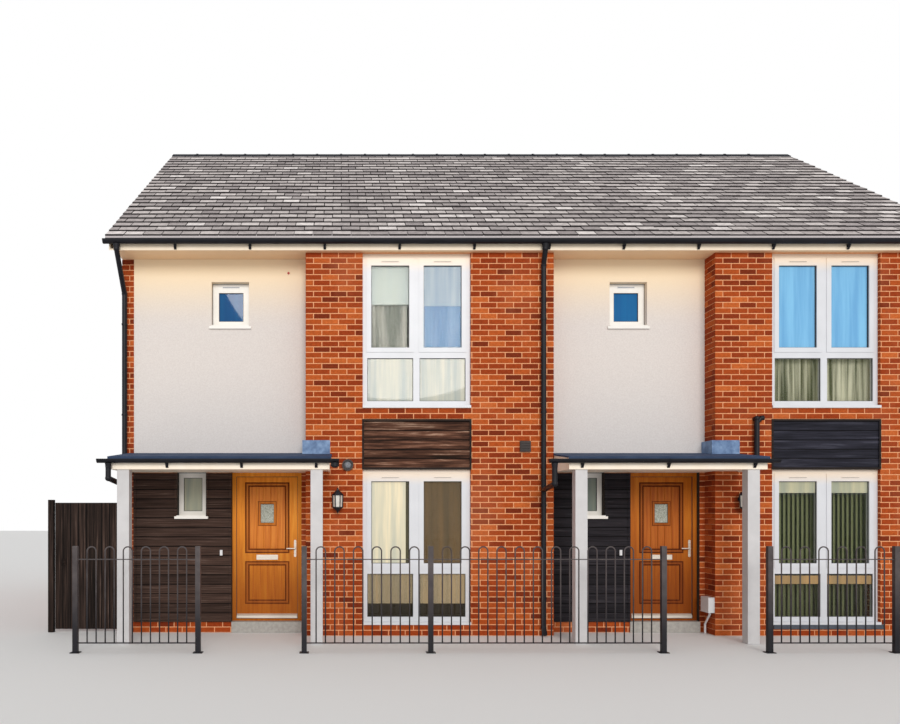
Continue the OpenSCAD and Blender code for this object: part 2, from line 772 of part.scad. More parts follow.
// A third of a butt hinge, counted from its foot: a knuckle and its flap in the gap of the door
module hinge_third(k, flap_x) {
    translate([0, 0, k * hinge_h / 3]) {
        cylinder(d = knuckle_d, h = hinge_h / 3 - seat);
        translate([flap_x, -flap_w, 0]) cube([flap_t, flap_w - knuckle_d / 2 + over, hinge_h / 3 - seat]);
    }
}

// The pins, middle knuckles and frame flaps of the hinges of both front doors
module door_hinges() {
    pin_out = 3;
    color("silver") for (i = [0, 1], z = hinge_zs) translate([door_x(i) + hinge_x, y_hinge, z]) {
        hinge_third(1, seat - leaf_gap / 2);
        translate([0, 0, -pin_out]) cylinder(d = hinge_pin_d, h = hinge_h + 2 * pin_out);
    }
}

// Plan of a canopy as an L round the corner of the brick bay, set in from its outline
module canopy_plan(i, inset, z0, z1) {
    difference() {
        block(canopy_x0(i) + inset, canopy_x1(i) - inset, y_canopy + inset, y_recess - seat, z0, z1);
        block(bay_x0(i) - seat, x_right + house_w, y_brick - seat, y_recess + over, z0 - over, z1 + over);
    }
}

module canopy(i) {
    color("white") intersection() {
        difference() {
            canopy_plan(i, 0, canopy_z, canopy_deck(y_recess));
            canopy_plan(i, canopy_board_t, canopy_z - over, canopy_z + soffit_lift);
        }
        along_x(canopy_x0(i) - over, canopy_x1(i) + over) polygon([
            [y_canopy - over, canopy_z - over], [y_recess + over, canopy_z - over],
            [y_recess + over, canopy_deck(y_recess + over) - seat],
            [y_canopy - over, canopy_deck(y_canopy - over) - seat]]);
    }
}

// Covering of a canopy, turned down along its front edge behind the gutter
module canopy_roof(i) {
    x0 = canopy_x0(i) - (i == 0 ? canopy_drip : canopy_inset - end_out - seat);
    edge_t = 3;
    color("slategray") intersection() {
        difference() {
            block(x0, canopy_x1(i) + canopy_drip, y_canopy - canopy_drip,
                y_recess - seat, canopy_z, canopy_deck(y_recess) + canopy_roof_t);
            block(bay_x0(i) - seat, x_right + house_w, y_brick - seat, y_recess + over, 0, ridge_z);
        }
        along_x(canopy_x0(i) - canopy_drip, canopy_x1(i) + canopy_drip) polygon([
            for (p = [[y_canopy - canopy_drip + edge_t, 0], [y_recess, 0], [y_recess, canopy_roof_t],
                    [y_canopy - canopy_drip, canopy_roof_t], [y_canopy - canopy_drip, -gutter_drop],
                    [y_canopy - canopy_drip + edge_t, -gutter_drop]])
                [p[0], canopy_deck(p[0]) + p[1]]]);
    }
}

module porch_posts(i) {
    color("white") for (x = [canopy_x0(i) + post_in, canopy_x1(i) - post_in - post_w])
        block(x, x + post_w, y_canopy + canopy_board_t + seat, y_canopy + canopy_board_t + seat + post_w,
            0, canopy_z + soffit_lift);
}

// Lead dressed up the front of each bay above its canopy, and over a kerb on its return
module lead_flashings() {
    color("lightsteelblue") for (i = [0, 1]) {
        x0 = bay_x0(i);
        z_front = canopy_deck(y_brick) + canopy_roof_t;
        z_top = canopy_deck(y_recess) + canopy_roof_t + lead_h;
        difference() {
            block(x0 - lead_side_t, canopy_x1(i), y_brick - lead_t, y_recess - 2 * seat, z_front, z_top);
            block(x0 - seat / 2, x_right, y_brick - seat / 2, y_recess, 0, ridge_z);
            along_x(x0 - wall_t, canopy_x1(i) + over) polygon([
                [y_canopy, 0], [y_recess + over, 0],
                [y_recess + over, canopy_deck(y_recess + over) + canopy_roof_t + seat],
                [y_canopy, canopy_deck(y_canopy) + canopy_roof_t + seat]]);
        }
    }
}

// Half-round gutter with stop ends, and brackets at a list of places on a board at y_board
module half_round_gutter(x0, x1, w, y_board, z_top, side, hooks) {
    y_mid = y_board + side * (w / 2 + 2 * gutter_wall);
    y_plate = side > 0 ? y_board + seat : y_board - seat - 2 * gutter_wall;
    hook_w = 30;
    tail_h = 28;
    color([0.08, 0.08, 0.09]) {
        along_x(x0, x1) difference() {
            translate([y_mid, z_top]) circle(d = w);
            translate([y_mid, z_top]) circle(d = w - 2 * gutter_wall);
            translate([y_mid - w, z_top]) square(2 * w);
        }
        for (x = [x0, x1 - gutter_wall]) along_x(x, x + gutter_wall) difference() {
            translate([y_mid, z_top]) circle(d = w);
            translate([y_mid - w, z_top]) square(2 * w);
        }
        for (x = hooks) along_x(x - hook_w / 2, x + hook_w / 2) {
            difference() {
                union() {
                    translate([y_mid, z_top]) circle(d = w + 2 * gutter_wall);
                    translate([side > 0 ? y_board + seat : y_mid, z_top - w / 2 - gutter_wall])
                        square([abs(y_mid - y_board) - seat, w / 2 + gutter_wall]);
                }
                translate([y_mid, z_top]) circle(d = w - gutter_wall);
                translate([y_mid - w, z_top]) square(2 * w);
            }
            translate([y_plate, z_top - w / 2 - tail_h]) square([2 * gutter_wall, w / 2]);
        }
    }
}

// Places of the brackets along a main gutter
function main_hooks() =
    let (first = ceil((x_left + pipe_d - bracket_x) / bracket_gap),
        last = floor((x_right - pipe_d - bracket_x) / bracket_gap))
    [for (k = [first : last]) bracket_x + k * bracket_gap];

// Canopy gutters with their brackets, and a blank outlet at the right end of the first one
module canopy_gutters() {
    for (i = [0, 1])
        half_round_gutter(canopy_x0(i) - gutter_lefts[i], canopy_x1(i) + gutter_right, canopy_gutter_w,
            y_canopy, canopy_gutter_z, -1, [for (k = [0 : 2]) canopy_x1(i) - hook_in - k * hook_gaps[i]]);
    cup_h = 60;
    x_cup = canopy_x1(0) + gutter_right - canopy_gutter_w / 2;
    color([0.08, 0.08, 0.09]) translate([x_cup, y_canopy_outlet, canopy_outlet_z - cup_h]) {
        translate([0, 0, cup_h / 3]) cylinder(d = canopy_gutter_w, h = cup_h - cup_h / 3 + gutter_wall);
        cylinder(d1 = canopy_gutter_w / 2, d2 = canopy_gutter_w, h = cup_h / 3);
    }
}

// One slope of slates over its rafters: each course steps up over the one below
module roof_slope(side) {
    slope_len = y_eave / cos(pitch);
    count = ceil(slope_len / gauge);
    dy = gauge * cos(pitch);
    teeth = [for (k = [0 : count - 1]) let (y = y_eave - k * dy, y_up = max(y - dy, 0)) each [
        [y, roof_top(y)],
        [y_up, roof_top(y_up) - slate_step]]];
    color([0.35, 0.34, 0.34]) intersection() {
        scale([1, side, 1]) along_x(x_verge, x_right) polygon(concat(
            [[0, roof_under(0)], [y_fascia - board_t, roof_under(y_fascia - board_t)],
                [y_fascia - board_t, roof_deck(y_fascia - board_t)], [y_eave, roof_deck(y_eave)]],
            teeth));
        union() {
            block(x_left + seat, x_right, -y_eave, y_eave, 0, ridge_z + roof_t);
            scale([1, side, 1]) along_x(x_verge, x_left + 2 * seat) polygon([
                [0, roof_deck(0)], [y_eave, roof_deck(y_eave)], [y_eave, ridge_z + roof_t], [0, ridge_z + roof_t]]);
        }
    }
}

module roof_front() roof_slope(-1);

module roof_rear() roof_slope(1);

// Angle ridge tiles with a collar at each joint
module ridge_tiles() {
    collar_w = 40;
    collar_t = 8;
    count = floor((x_right - x_verge) / ridge_len);
    color([0.16, 0.16, 0.17]) {
        along_x(x_verge, x_right) ridge_section(0);
        for (k = [1 : count - 1])
            along_x(x_verge + k * ridge_len - collar_w / 2, x_verge + k * ridge_len + collar_w / 2)
                ridge_section(collar_t);
    }
}

module ridge_section(extra) {
    wing_y = ridge_wing * cos(pitch);
    top_course_y = y_eave - (ceil(y_eave / cos(pitch) / gauge) - 1) * gauge * cos(pitch);
    drop = slate_step * max(0, 1 - wing_y / top_course_y) - seat;
    low = roof_top(wing_y) - drop;
    thick = (ridge_t + extra) / cos(pitch);
    polygon([[-wing_y, low], [0, ridge_z - drop], [wing_y, low],
        [wing_y, low + thick], [0, ridge_z - drop + thick], [-wing_y, low + thick]]);
}

// Fascia and soffit boards along the front and rear eaves
module eaves_boards() {
    color("ivory") {
        for (side = [-1, 1]) scale([1, side, 1]) {
            block(x_left, x_right, y_fascia - board_t, y_fascia, soffit_z, fascia_top_z);
            block(x_left, x_right, y_rear + seat, y_fascia - board_t + over, soffit_z, soffit_z + board_t / 2);
        }
        for (i = [0, 1])
            block(i == 0 ? x_left : end_out + seat, bay_x0(i) - seat, y_brick - over, y_recess - seat,
                soffit_z, soffit_z + board_t / 2);
    }
}

// Boxed verge under the slates past the gable wall
module verge_boards() {
    color("ivory") for (side = [-1, 1]) scale([1, side, 1]) {
        verge_band(x_verge + 2 * board_t, x_verge + 3 * board_t, fascia_h, 0);
        verge_band(x_verge + 3 * board_t - over, x_left - seat, fascia_h, fascia_h - board_t);
    }
}

// Band that follows the slope, between two depths below the slates
module verge_band(x0, x1, low, high) {
    along_x(x0, x1) polygon([
        [0, roof_deck(0) - seat - low], [y_fascia, roof_deck(y_fascia) - seat - low],
        [y_fascia, roof_deck(y_fascia) - seat - high], [0, roof_deck(0) - seat - high]]);
}

module gutter_front()
    half_round_gutter(x_verge - pipe_off, x_right, gutter_w, -y_fascia, gutter_z, -1, main_hooks());

module gutter_rear()
    half_round_gutter(x_verge - pipe_off, x_right, gutter_w, y_fascia, gutter_z, 1, main_hooks());

// Pipe clips round a downpipe, back to the wall
module pipe_clips(x, y, y_wall, levels) {
    clip_t = 6;
    clip_h = 25;
    for (z = levels) {
        translate([x, y, z]) cylinder(d = pipe_d + 2 * clip_t, h = clip_h);
        block(x - pipe_d / 4, x + pipe_d / 4, min(y, y_wall), max(y, y_wall), z, z + clip_h);
    }
}

// Funnel under a gutter's outlet
module outlet_cone(x, y, z, w) {
    cone_h = 70;
    translate([x, y, z - cone_h]) cylinder(d1 = pipe_d, d2 = w, h = cone_h);
}

// Pipe from a canopy's gutter back to the downpipe on the wall
module canopy_branch(i, x, y) {
    x_out = canopy_outlet_x(i);
    pipe_run([[x_out, y_canopy_outlet, canopy_outlet_z],
        [x_out, y_canopy_outlet, canopy_outlet_z - branch_drops[i]], [x, y, branch_foot_z(i)]], pipe_d);
    outlet_cone(x_out, y_canopy_outlet, canopy_outlet_z, canopy_gutter_w * 0.8);
}

// Long swan neck at the gable, down to the ground
module downpipe_gable() {
    x = x_left + gable_pipe_in;
    y_pipe = y_recess - pipe_off - pipe_d / 2;
    gable_neck_drop = 2 * neck_drop + 40;
    color([0.08, 0.08, 0.09]) {
        pipe_run([[x, y_pipe, 0], [x, y_pipe, outlet_z - gable_neck_drop], [x, -y_outlet, outlet_z - pipe_d],
            [x, -y_outlet, outlet_z]], pipe_d);
        outlet_cone(x, -y_outlet, outlet_z, gutter_w * 0.8);
        canopy_branch(0, x, y_pipe);
        pipe_clips(x, y_pipe, y_recess - seat, clip_levels(outlet_z - gable_neck_drop));
    }
}

// Party pipe with its shoe, and the branch from the second canopy's gutter
module downpipe_party() {
    x = party_pipe_x;
    y_pipe = y_brick - pipe_off - pipe_d / 2;
    shoe_z = 120;
    shoe_foot_z = 30;
    color([0.08, 0.08, 0.09]) {
        pipe_run([[x, y_pipe - pipe_d, shoe_foot_z], [x, y_pipe, shoe_z], [x, y_pipe, outlet_z - neck_drop],
            [x, -y_outlet, outlet_z - pipe_d], [x, -y_outlet, outlet_z]], pipe_d);
        outlet_cone(x, -y_outlet, outlet_z, gutter_w * 0.8);
        canopy_branch(1, x, y_pipe);
        pipe_clips(x, y_pipe, y_brick - seat, clip_levels(outlet_z - neck_drop));
    }
}

module downpipe_rear() {
    x = party_pipe_x;
    y_pipe = y_rear + pipe_off + pipe_d / 2;
    color([0.08, 0.08, 0.09]) {
        pipe_run([[x, y_pipe, 0], [x, y_pipe, outlet_z - neck_drop], [x, y_outlet, outlet_z - pipe_d],
            [x, y_outlet, outlet_z]], pipe_d);
        outlet_cone(x, y_outlet, outlet_z, gutter_w * 0.8);
        pipe_clips(x, y_pipe, y_rear + seat, clip_levels(outlet_z - neck_drop));
    }
}

// Waste pipe out of the second bay, down to the ground
module waste_pipe() {
    x = bay_x0(1) + waste_u;
    z_top = panel_z + panel_h;
    y_pipe = y_brick - pipe_off - waste_d / 2;
    color([0.08, 0.08, 0.09]) {
        pipe_run([[x, y_pipe, 0], [x, y_pipe, z_top], [x, y_brick - seat, z_top]], waste_d);
    }
}

// Two bars joined at the top by a half-round bow
module bow_pair(x, pitch) {
    bow_z = rail_top - pitch / 2 - bar_d / 2;
    for (k = [0, 1])
        translate([x + k * pitch, y_rail, bottom_rail_z]) cylinder(d = bar_d, h = bow_z - bottom_rail_z);
    translate([x + pitch / 2, y_rail, bow_z]) rotate([90, 0, 0]) rotate_extrude(angle = 180)
        translate([pitch / 2, 0]) circle(d = bar_d);
}

// Panel of bow-top bars on two flat rails between two posts
module rail_panel(x0, x1) {
    inner = x1 - x0 - rail_post_w;
    pairs = round((inner / bar_gap - 1) / 2);
    pitch = round(2 * inner / (2 * pairs + 1)) / 2;
    for (z = [bottom_rail_z, top_rail_z])
        block(x0, x1, y_rail - flat_w / 2, y_rail + flat_w / 2, z - flat_t / 2, z + flat_t / 2);
    for (k = [0 : pairs - 1]) bow_pair(x0 + rail_post_w / 2 + (2 * k + 1) * pitch, pitch);
}

module rail_run(posts) {
    color([0.07, 0.07, 0.08]) {
        for (x = posts) {
            block(x - rail_post_w / 2, x + rail_post_w / 2, y_rail - rail_post_w / 2, y_rail + rail_post_w / 2,
                0, rail_top);
            block(x - foot_plate_w / 2, x + foot_plate_w / 2, y_rail - foot_plate_w / 2,
                y_rail + foot_plate_w / 2, 0, foot_plate_t);
        }
        for (k = [0 : len(posts) - 2]) rail_panel(posts[k], posts[k + 1]);
    }
}

module railing_left() rail_run(rail_left_posts);

module railing_middle() rail_run(rail_middle_posts);

module railing_right() rail_run(rail_right_posts);

// Coach lantern on an arm, one beside each porch
module wall_lanterns() {
    rose_d = 90;
    rose_t = 14;
    body_h = 170;
    body_d = 144;
    body_foot = 100;
    hood_h = 62;
    hood_d = 158;
    ball_d = 24;
    tail_h = 58;
    color([0.07, 0.07, 0.08]) for (i = [0, 1])
        translate([bay_x0(i) + lantern_u - i * lantern_shift, y_brick - seat, lantern_z]) {
            translate([0, 0, rose_t]) rotate([90, 0, 0]) cylinder(d = rose_d, h = rose_t);
            translate([-rose_t / 2, -lantern_out, 0]) cube([rose_t, lantern_out, rose_t]);
            translate([0, -lantern_out, -body_foot]) {
                cylinder(d = body_d, h = body_h, $fn = 6);
                translate([0, 0, body_h]) cylinder(d1 = hood_d, d2 = 2 * ball_d, h = hood_h, $fn = 6);
                translate([0, 0, body_h + hood_h]) cylinder(d = ball_d, h = ball_d);
                translate([0, 0, body_h + hood_h + ball_d]) sphere(d = 1.2 * ball_d);
                translate([0, 0, -tail_h]) cylinder(d1 = ball_d, d2 = body_d, h = tail_h, $fn = 6);
                translate([0, 0, -tail_h - 0.3 * ball_d]) sphere(d = ball_d);
            }
        }
}

// Round flue beside the first canopy, and a square vent at the end of each bay
module wall_vents() {
    flue_out = 45;
    flue_rim = 20;
    flue_sink = 18;
    vent_out = 35;
    color([0.2, 0.13, 0.1]) {
        translate([bay_x0(0) + flue_u, y_brick - seat, flue_z]) rotate([90, 0, 0]) difference() {
            cylinder(d = flue_d, h = flue_out);
            translate([0, 0, flue_out - flue_sink]) cylinder(d = flue_d - 2 * flue_rim, h = flue_sink + over);
        }
        for (i = [0, 1])
            block(bay_x1(i) - vent_in - vent_w, bay_x1(i) - vent_in, y_brick - seat - vent_out, y_brick - seat,
                vent_z, vent_z + vent_w);
    }
}

// Bell pushes on the cladding, and the meter box with its pipe on the second bay's return
module entrance_fittings() {
    bell_w = 35;
    bell_h = 75;
    bell_t = 20;
    bell_board = 7;
    meter_in = 10;
    gas_d = 28;
    gas_drop = 25;
    gas_bend_z = 130;
    bell_z = floor_z + bell_board * clad_pitch;
    color("white") {
        for (i = [0, 1])
            block(door_x(i) - bell_in - bell_w, door_x(i) - bell_in, y_recess - clad_t - bell_t,
                y_recess - clad_t - 2 * seat, bell_z, bell_z + bell_h);
        block(bay_x0(1) - meter_out, bay_x0(1) - seat, y_brick + meter_in, y_brick + meter_in + meter_w,
            meter_z, meter_z + meter_h);
        pipe_run([for (p = [[meter_w / 4, meter_z + over], [meter_w / 4, meter_z - gas_drop],
                [meter_w * 0.85, gas_bend_z], [meter_w * 0.85, 0]])
            [bay_x0(1) - meter_out / 2, y_brick + meter_in + p[0], p[1]]], gas_d);
    }
}

// Boarded gate with ledges, strap hinges and a ring latch
module side_gate() {
    count = floor(gate_w / gate_board_w);
    y_front = y_gate - gate_board_t;
    reveal = 4;
    strap_len = 400;
    strap_t = 6;
    ledge_in = 30;
    latch_in = 110;
    latch_z = 985;
    latch_t = 13;
    latch_ring_r = 34;
    color([0.2, 0.15, 0.12]) {
        difference() {
            block(gate_x0, gate_x1, y_front, y_gate, gate_lift, gate_h);
            for (k = [1 : count])
                translate([k * gate_w / (count + 1), 0, 0]) block(gate_x0 - reveal / 2, gate_x0 + reveal / 2,
                    y_front - over, y_front + gate_board_t / 2, gate_lift - over, gate_h + over);
        }
        for (z = gate_ledges)
            block(gate_x0 + ledge_in, gate_x1 - ledge_in, y_gate, y_gate + ledge_t, z, z + ledge_h);
        for (z = gate_hinge_zs) difference() {
            union() {
                block(gate_x1 - strap_len, gate_pin_x, y_gate + ledge_t, y_gate + ledge_t + strap_t,
                    z, z + gate_eye_h);
                translate([gate_pin_x, gate_pin_y, z]) cylinder(d = gate_eye_d, h = gate_eye_h);
            }
            translate([gate_pin_x, gate_pin_y, z - over])
                cylinder(d = gate_pin_d + 2 * seat, h = gate_eye_h + 2 * over);
        }
        translate([gate_x0 + latch_in, y_front + over, latch_z])
            rotate([90, 0, 0]) cylinder(d = 2 * latch_t + latch_ring_r, h = latch_t);
        translate([gate_x0 + latch_in, y_front - latch_t - over, latch_z - latch_ring_r + latch_t])
            rotate([90, 0, 0]) rotate_extrude() translate([latch_ring_r, 0]) circle(d = 0.8 * latch_t);
    }
}

// Gate posts, the one on the gable with the two hook pins that the gate hangs on
module gate_posts() {
    arm_w = 20;
    arm_h = 14;
    pin_up = 5;
    post_up = 40;
    color([0.22, 0.17, 0.14]) {
        for (x = [x_left - gate_post_w, gate_x0 - gate_gap - gate_post_w])
            block(x, x + gate_post_w - seat, y_gate - gate_post_w, y_gate, 0, gate_h + post_up);
        for (z = gate_hinge_zs) {
            block(gate_pin_x, gate_pin_x + arm_w, y_gate - over, gate_pin_y, z - seat - arm_h, z - seat);
            translate([gate_pin_x, gate_pin_y, z - seat - arm_h])
                cylinder(d = gate_pin_d, h = arm_h + gate_eye_h + pin_up);
        }
    }
}

ground_floor_slab();
first_floor();
gable_wall();
party_wall();
end_party_wall();
rear_wall();
bay_wall(0);  // bay_wall_1
bay_wall(1);  // bay_wall_2
hall_wall(0);  // hall_wall_1
hall_wall(1);  // hall_wall_2
render_wall(0);  // render_wall_1
render_wall(1);  // render_wall_2
timber_cladding(0);  // timber_cladding_1
timber_cladding(1);  // timber_cladding_2
bay_panel(0);  // bay_panel_1
bay_panel(1);  // bay_panel_2
bay_windows(0);  // bay_windows_1
bay_windows(1);  // bay_windows_2
small_windows(0);  // small_windows_1
small_windows(1);  // small_windows_2
front_glass(0);  // front_glass_1
front_glass(1);  // front_glass_2
rear_windows();
rear_glass();
door_frame(0);  // door_frame_1
door_frame(1);  // door_frame_2
front_door(0);  // front_door_1
front_door(1);  // front_door_2
door_glass(0);  // door_glass_1
door_glass(1);  // door_glass_2
door_furniture(0);  // door_furniture_1
door_furniture(1);  // door_furniture_2
door_hinges();
canopy(0);  // canopy_1
canopy(1);  // canopy_2
canopy_roof(0);  // canopy_roof_1
canopy_roof(1);  // canopy_roof_2
porch_posts(0);  // porch_posts_1
porch_posts(1);  // porch_posts_2
lead_flashings();
canopy_gutters();
roof_front();
roof_rear();
ridge_tiles();
eaves_boards();
verge_boards();
gutter_front();
gutter_rear();
downpipe_gable();
downpipe_party();
downpipe_rear();
waste_pipe();
railing_left();
railing_middle();
railing_right();
wall_lanterns();
wall_vents();
entrance_fittings();
side_gate();
gate_posts();
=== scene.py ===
import math
import random

import bpy
import numpy
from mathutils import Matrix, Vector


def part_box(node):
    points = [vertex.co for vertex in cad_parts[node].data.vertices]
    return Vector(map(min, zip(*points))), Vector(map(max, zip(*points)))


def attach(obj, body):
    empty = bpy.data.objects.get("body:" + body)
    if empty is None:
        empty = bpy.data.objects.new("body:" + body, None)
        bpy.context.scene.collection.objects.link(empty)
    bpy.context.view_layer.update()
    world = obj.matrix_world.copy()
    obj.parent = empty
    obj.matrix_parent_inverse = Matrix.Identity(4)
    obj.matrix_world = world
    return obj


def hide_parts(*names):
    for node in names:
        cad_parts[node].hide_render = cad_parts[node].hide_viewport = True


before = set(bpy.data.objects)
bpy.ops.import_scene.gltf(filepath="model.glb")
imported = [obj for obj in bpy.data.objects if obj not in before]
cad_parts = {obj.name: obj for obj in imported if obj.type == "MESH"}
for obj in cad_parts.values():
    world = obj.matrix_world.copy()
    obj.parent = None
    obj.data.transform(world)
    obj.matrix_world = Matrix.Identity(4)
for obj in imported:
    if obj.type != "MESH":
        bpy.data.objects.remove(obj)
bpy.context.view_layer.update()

# The looks of two terraced houses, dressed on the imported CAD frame. Metres and degrees, front at -Y.
houses = (0, 1)

# Rounding of edges, how squarely a picked face looks along its axis, and a guard for whole numbers
smallRound, squareOn, nearly = 0.003, 0.9, 1e-6


# A screen tone as the renderer takes it
def tone(*levels):
    shares = [level / 255 for level in levels]
    return (*(share / 12.92 if share <= 0.04045 else ((share + 0.055) / 1.055) ** 2.4 for share in shares), 1)


def grey(value):
    return (value, value, value, 1)


# Stops of a ramp: screen tones at their places, times a stain
def ramp(shades, at=(0.3, 0.7), stain=(1, 1, 1, 1)):
    return [(place, tuple(a * b for a, b in zip(tone(*shade), stain))) for place, shade in zip(at, shades)]


view = {"place": (-2.692, -16.0, 1.67), "lens": 34.08, "sensor": 36, "shift": (0.1222, 0.1667)}


def addCamera():
    bpy.ops.object.camera_add(location=view["place"], rotation=(math.radians(90), 0, 0))
    camera = bpy.context.scene.camera = bpy.context.object
    camera.data.sensor_width = view["sensor"]
    camera.data.lens = view["lens"]
    camera.data.shift_x, camera.data.shift_y = view["shift"]


# Modelling helpers
def setMode(mode):
    bpy.ops.object.mode_set(mode=mode)


def deselectAll():
    if bpy.context.object and bpy.context.object.mode != "OBJECT":
        setMode("OBJECT")
    bpy.ops.object.select_all(action="DESELECT")


def activate(piece):
    deselectAll()
    piece.select_set(True)
    bpy.context.view_layer.objects.active = piece


def settle(piece):
    activate(piece)
    bpy.ops.object.transform_apply(location=True, rotation=True, scale=True)
    return piece


# Turns about the origin, in radians, then moves, with both kept in the mesh
def placeAt(piece, place, turn=(0, 0, 0)):
    piece.rotation_euler = turn
    piece.location = place
    return settle(piece)


def nameLast(name):
    piece = bpy.context.object
    piece.name = name
    piece.data.name = name
    return piece


def addBlock(name, low, high):
    deselectAll()
    middle = [(a + b) / 2 for a, b in zip(low, high)]
    size = [b - a for a, b in zip(low, high)]
    bpy.ops.mesh.primitive_cube_add(size=1, location=middle, scale=size)
    return settle(nameLast(name))


def addModifier(piece, kind, **values):
    activate(piece)
    modifier = piece.modifiers.new(kind.title(), kind)
    for key, value in values.items():
        setattr(modifier, key, value)
    bpy.ops.object.modifier_apply(modifier=modifier.name)


def roundEdges(piece, width=smallRound, segments=2):
    addModifier(piece, "BEVEL", width=width, segments=segments, limit_method="ANGLE")


def repeat(piece, count, step):
    if count > 1:
        addModifier(piece, "ARRAY", count=count, use_relative_offset=False, use_constant_offset=True,
            constant_offset_displace=step)


def editAll(piece):
    activate(piece)
    setMode("EDIT")
    bpy.ops.mesh.select_all(action="SELECT")


# Adds a second course beside the first, moved by an offset
def stagger(piece, offset):
    editAll(piece)
    bpy.ops.mesh.duplicate_move(TRANSFORM_OT_translate={"value": offset})
    setMode("OBJECT")


# Opens a piece with the faces selected that look along an axis, to one side of it or to both for side 0
def selectFacing(piece, axis, side=0):
    activate(piece)
    setMode("EDIT")
    bpy.ops.mesh.select_mode(type="FACE")
    bpy.ops.mesh.select_all(action="DESELECT")
    setMode("OBJECT")
    for face in piece.data.polygons:
        turn = getattr(face.normal, axis)
        face.select = (turn * side if side else abs(turn)) > squareOn
    setMode("EDIT")


def pushFaces(piece, axis, side, offset, inset=0):
    selectFacing(piece, axis, side)
    if inset:
        bpy.ops.mesh.inset(thickness=inset)
    bpy.ops.transform.translate(value=offset)
    setMode("OBJECT")


# Cuts off what lies beyond each plane, given as a point and the way out
def cutAway(piece, *cuts):
    for point, normal in cuts:
        editAll(piece)
        bpy.ops.mesh.bisect(plane_co=point, plane_no=normal, use_fill=True, clear_outer=True)
        setMode("OBJECT")


def copyPiece(piece, name, turn=0):
    activate(piece)
    bpy.ops.object.duplicate(linked=False)
    return placeAt(nameLast(name), (0, 0, 0), (0, 0, math.radians(turn)))


def joinPieces(name, pieces):
    deselectAll()
    for piece in pieces:
        piece.select_set(True)
    bpy.context.view_layer.objects.active = pieces[0]
    if len(pieces) > 1:
        bpy.ops.object.join()
    return nameLast(name)


def addBar(name, start, end, diameter, sides=12):
    deselectAll()
    run = [b - a for a, b in zip(start, end)]
    length = math.sqrt(sum(value * value for value in run))
    bpy.ops.mesh.primitive_cylinder_add(vertices=sides, radius=diameter / 2, depth=length,
        location=[(a + b) / 2 for a, b in zip(start, end)], rotation=(0, math.acos(run[2] / length),
        math.atan2(run[1], run[0])))
    return settle(nameLast(name))


def addCone(name, place, low, high, tall, sides=6, turn=0):
    deselectAll()
    bpy.ops.mesh.primitive_cone_add(vertices=sides, radius1=low, radius2=high, depth=tall,
        location=(place[0], place[1], place[2] + tall / 2), rotation=(0, 0, math.radians(turn)))
    return settle(nameLast(name))


def addRing(name, low, high, width, bevel=0):
    piece = addBlock(name, low, high)
    selectFacing(piece, "y")
    bpy.ops.mesh.inset(thickness=width, use_individual=True)
    bpy.ops.mesh.bridge_edge_loops()
    setMode("OBJECT")
    if bevel:
        roundEdges(piece, bevel)
    return piece


def finishPiece(piece, skin, slot, body="root", replaced=()):
    piece.data.materials.clear()
    piece.data.materials.append(skin)
    if replaced:
        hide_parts(*replaced)
    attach(piece, body)
    return piece


def finishJoined(name, pieces, *rest, **more):
    return finishPiece(joinPieces(name, pieces), *rest, **more)


def dress(skin, *names):
    for name in names:
        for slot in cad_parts[name].material_slots:
            slot.material = skin


# Material helpers: a skin is a material, and nodes belong to a skin or to the world
def newMaterial(name, colour, rough, metal=0.0, shine=0.5):
    skin = bpy.data.materials.new(name)
    skin.use_nodes = True
    for socket, value in (("Base Color", colour), ("Roughness", rough), ("Metallic", metal),
            ("Specular IOR Level", shine)):
        shaderOf(skin)[socket].default_value = value
    return skin


def shaderOf(skin):
    return skin.node_tree.nodes["Principled BSDF"].inputs


def addNode(owner, kind, **values):
    node = owner.node_tree.nodes.new("ShaderNode" + kind)
    for key, value in values.items():
        setattr(node, key, value)
    return node


def link(owner, source, target):
    owner.node_tree.links.new(source, target)


def paint(skin, colour):
    link(skin, colour, shaderOf(skin)["Base Color"])


# Gives an input a socket or a constant
def feed(owner, target, value):
    if isinstance(value, bpy.types.NodeSocket):
        link(owner, value, target)
    else:
        target.default_value = value


def reckon(owner, operation, *terms):
    step = addNode(owner, "Math", operation=operation)
    for target, term in zip(step.inputs, terms):
        feed(owner, target, term)
    return step.outputs[0]


def mixColours(skin, factor, first, second, mode="MIX"):
    mix = addNode(skin, "Mix", data_type="RGBA", blend_type=mode)
    for k, value in ((0, factor), (6, first), (7, second)):
        feed(skin, mix.inputs[k], value)
    return mix.outputs[2]


def addRamp(skin, source, stops):
    node = addNode(skin, "ValToRGB")
    steps = node.color_ramp.elements
    while len(steps) < len(stops):
        steps.new(0.5)
    for step, (place, colour) in zip(steps, stops):
        step.position = place
        step.color = colour
    link(skin, source, node.inputs["Fac"])
    return node.outputs["Color"]


def addNoise(skin, scale, detail=4.0, rough=0.55):
    place = addNode(skin, "TexCoord")
    stretch = addNode(skin, "Mapping")
    stretch.inputs["Scale"].default_value = scale if isinstance(scale, tuple) else (scale, scale, scale)
    noise = addNode(skin, "TexNoise")
    for socket, value in (("Scale", 1), ("Detail", detail), ("Roughness", rough)):
        noise.inputs[socket].default_value = value
    link(skin, place.outputs["Object"], stretch.inputs["Vector"])
    link(skin, stretch.outputs["Vector"], noise.inputs["Vector"])
    return noise.outputs["Fac"]


def addBump(skin, height, strength, distance):
    bump = addNode(skin, "Bump")
    bump.inputs["Strength"].default_value = strength
    bump.inputs["Distance"].default_value = distance
    link(skin, height, bump.inputs["Height"])
    link(skin, bump.outputs["Normal"], shaderOf(skin)["Normal"])


def separate(skin, source):
    parts = addNode(skin, "SeparateXYZ")
    link(skin, source, parts.inputs["Vector"])
    return parts.outputs


def objectPlace(skin):
    return separate(skin, addNode(skin, "TexCoord").outputs["Object"])


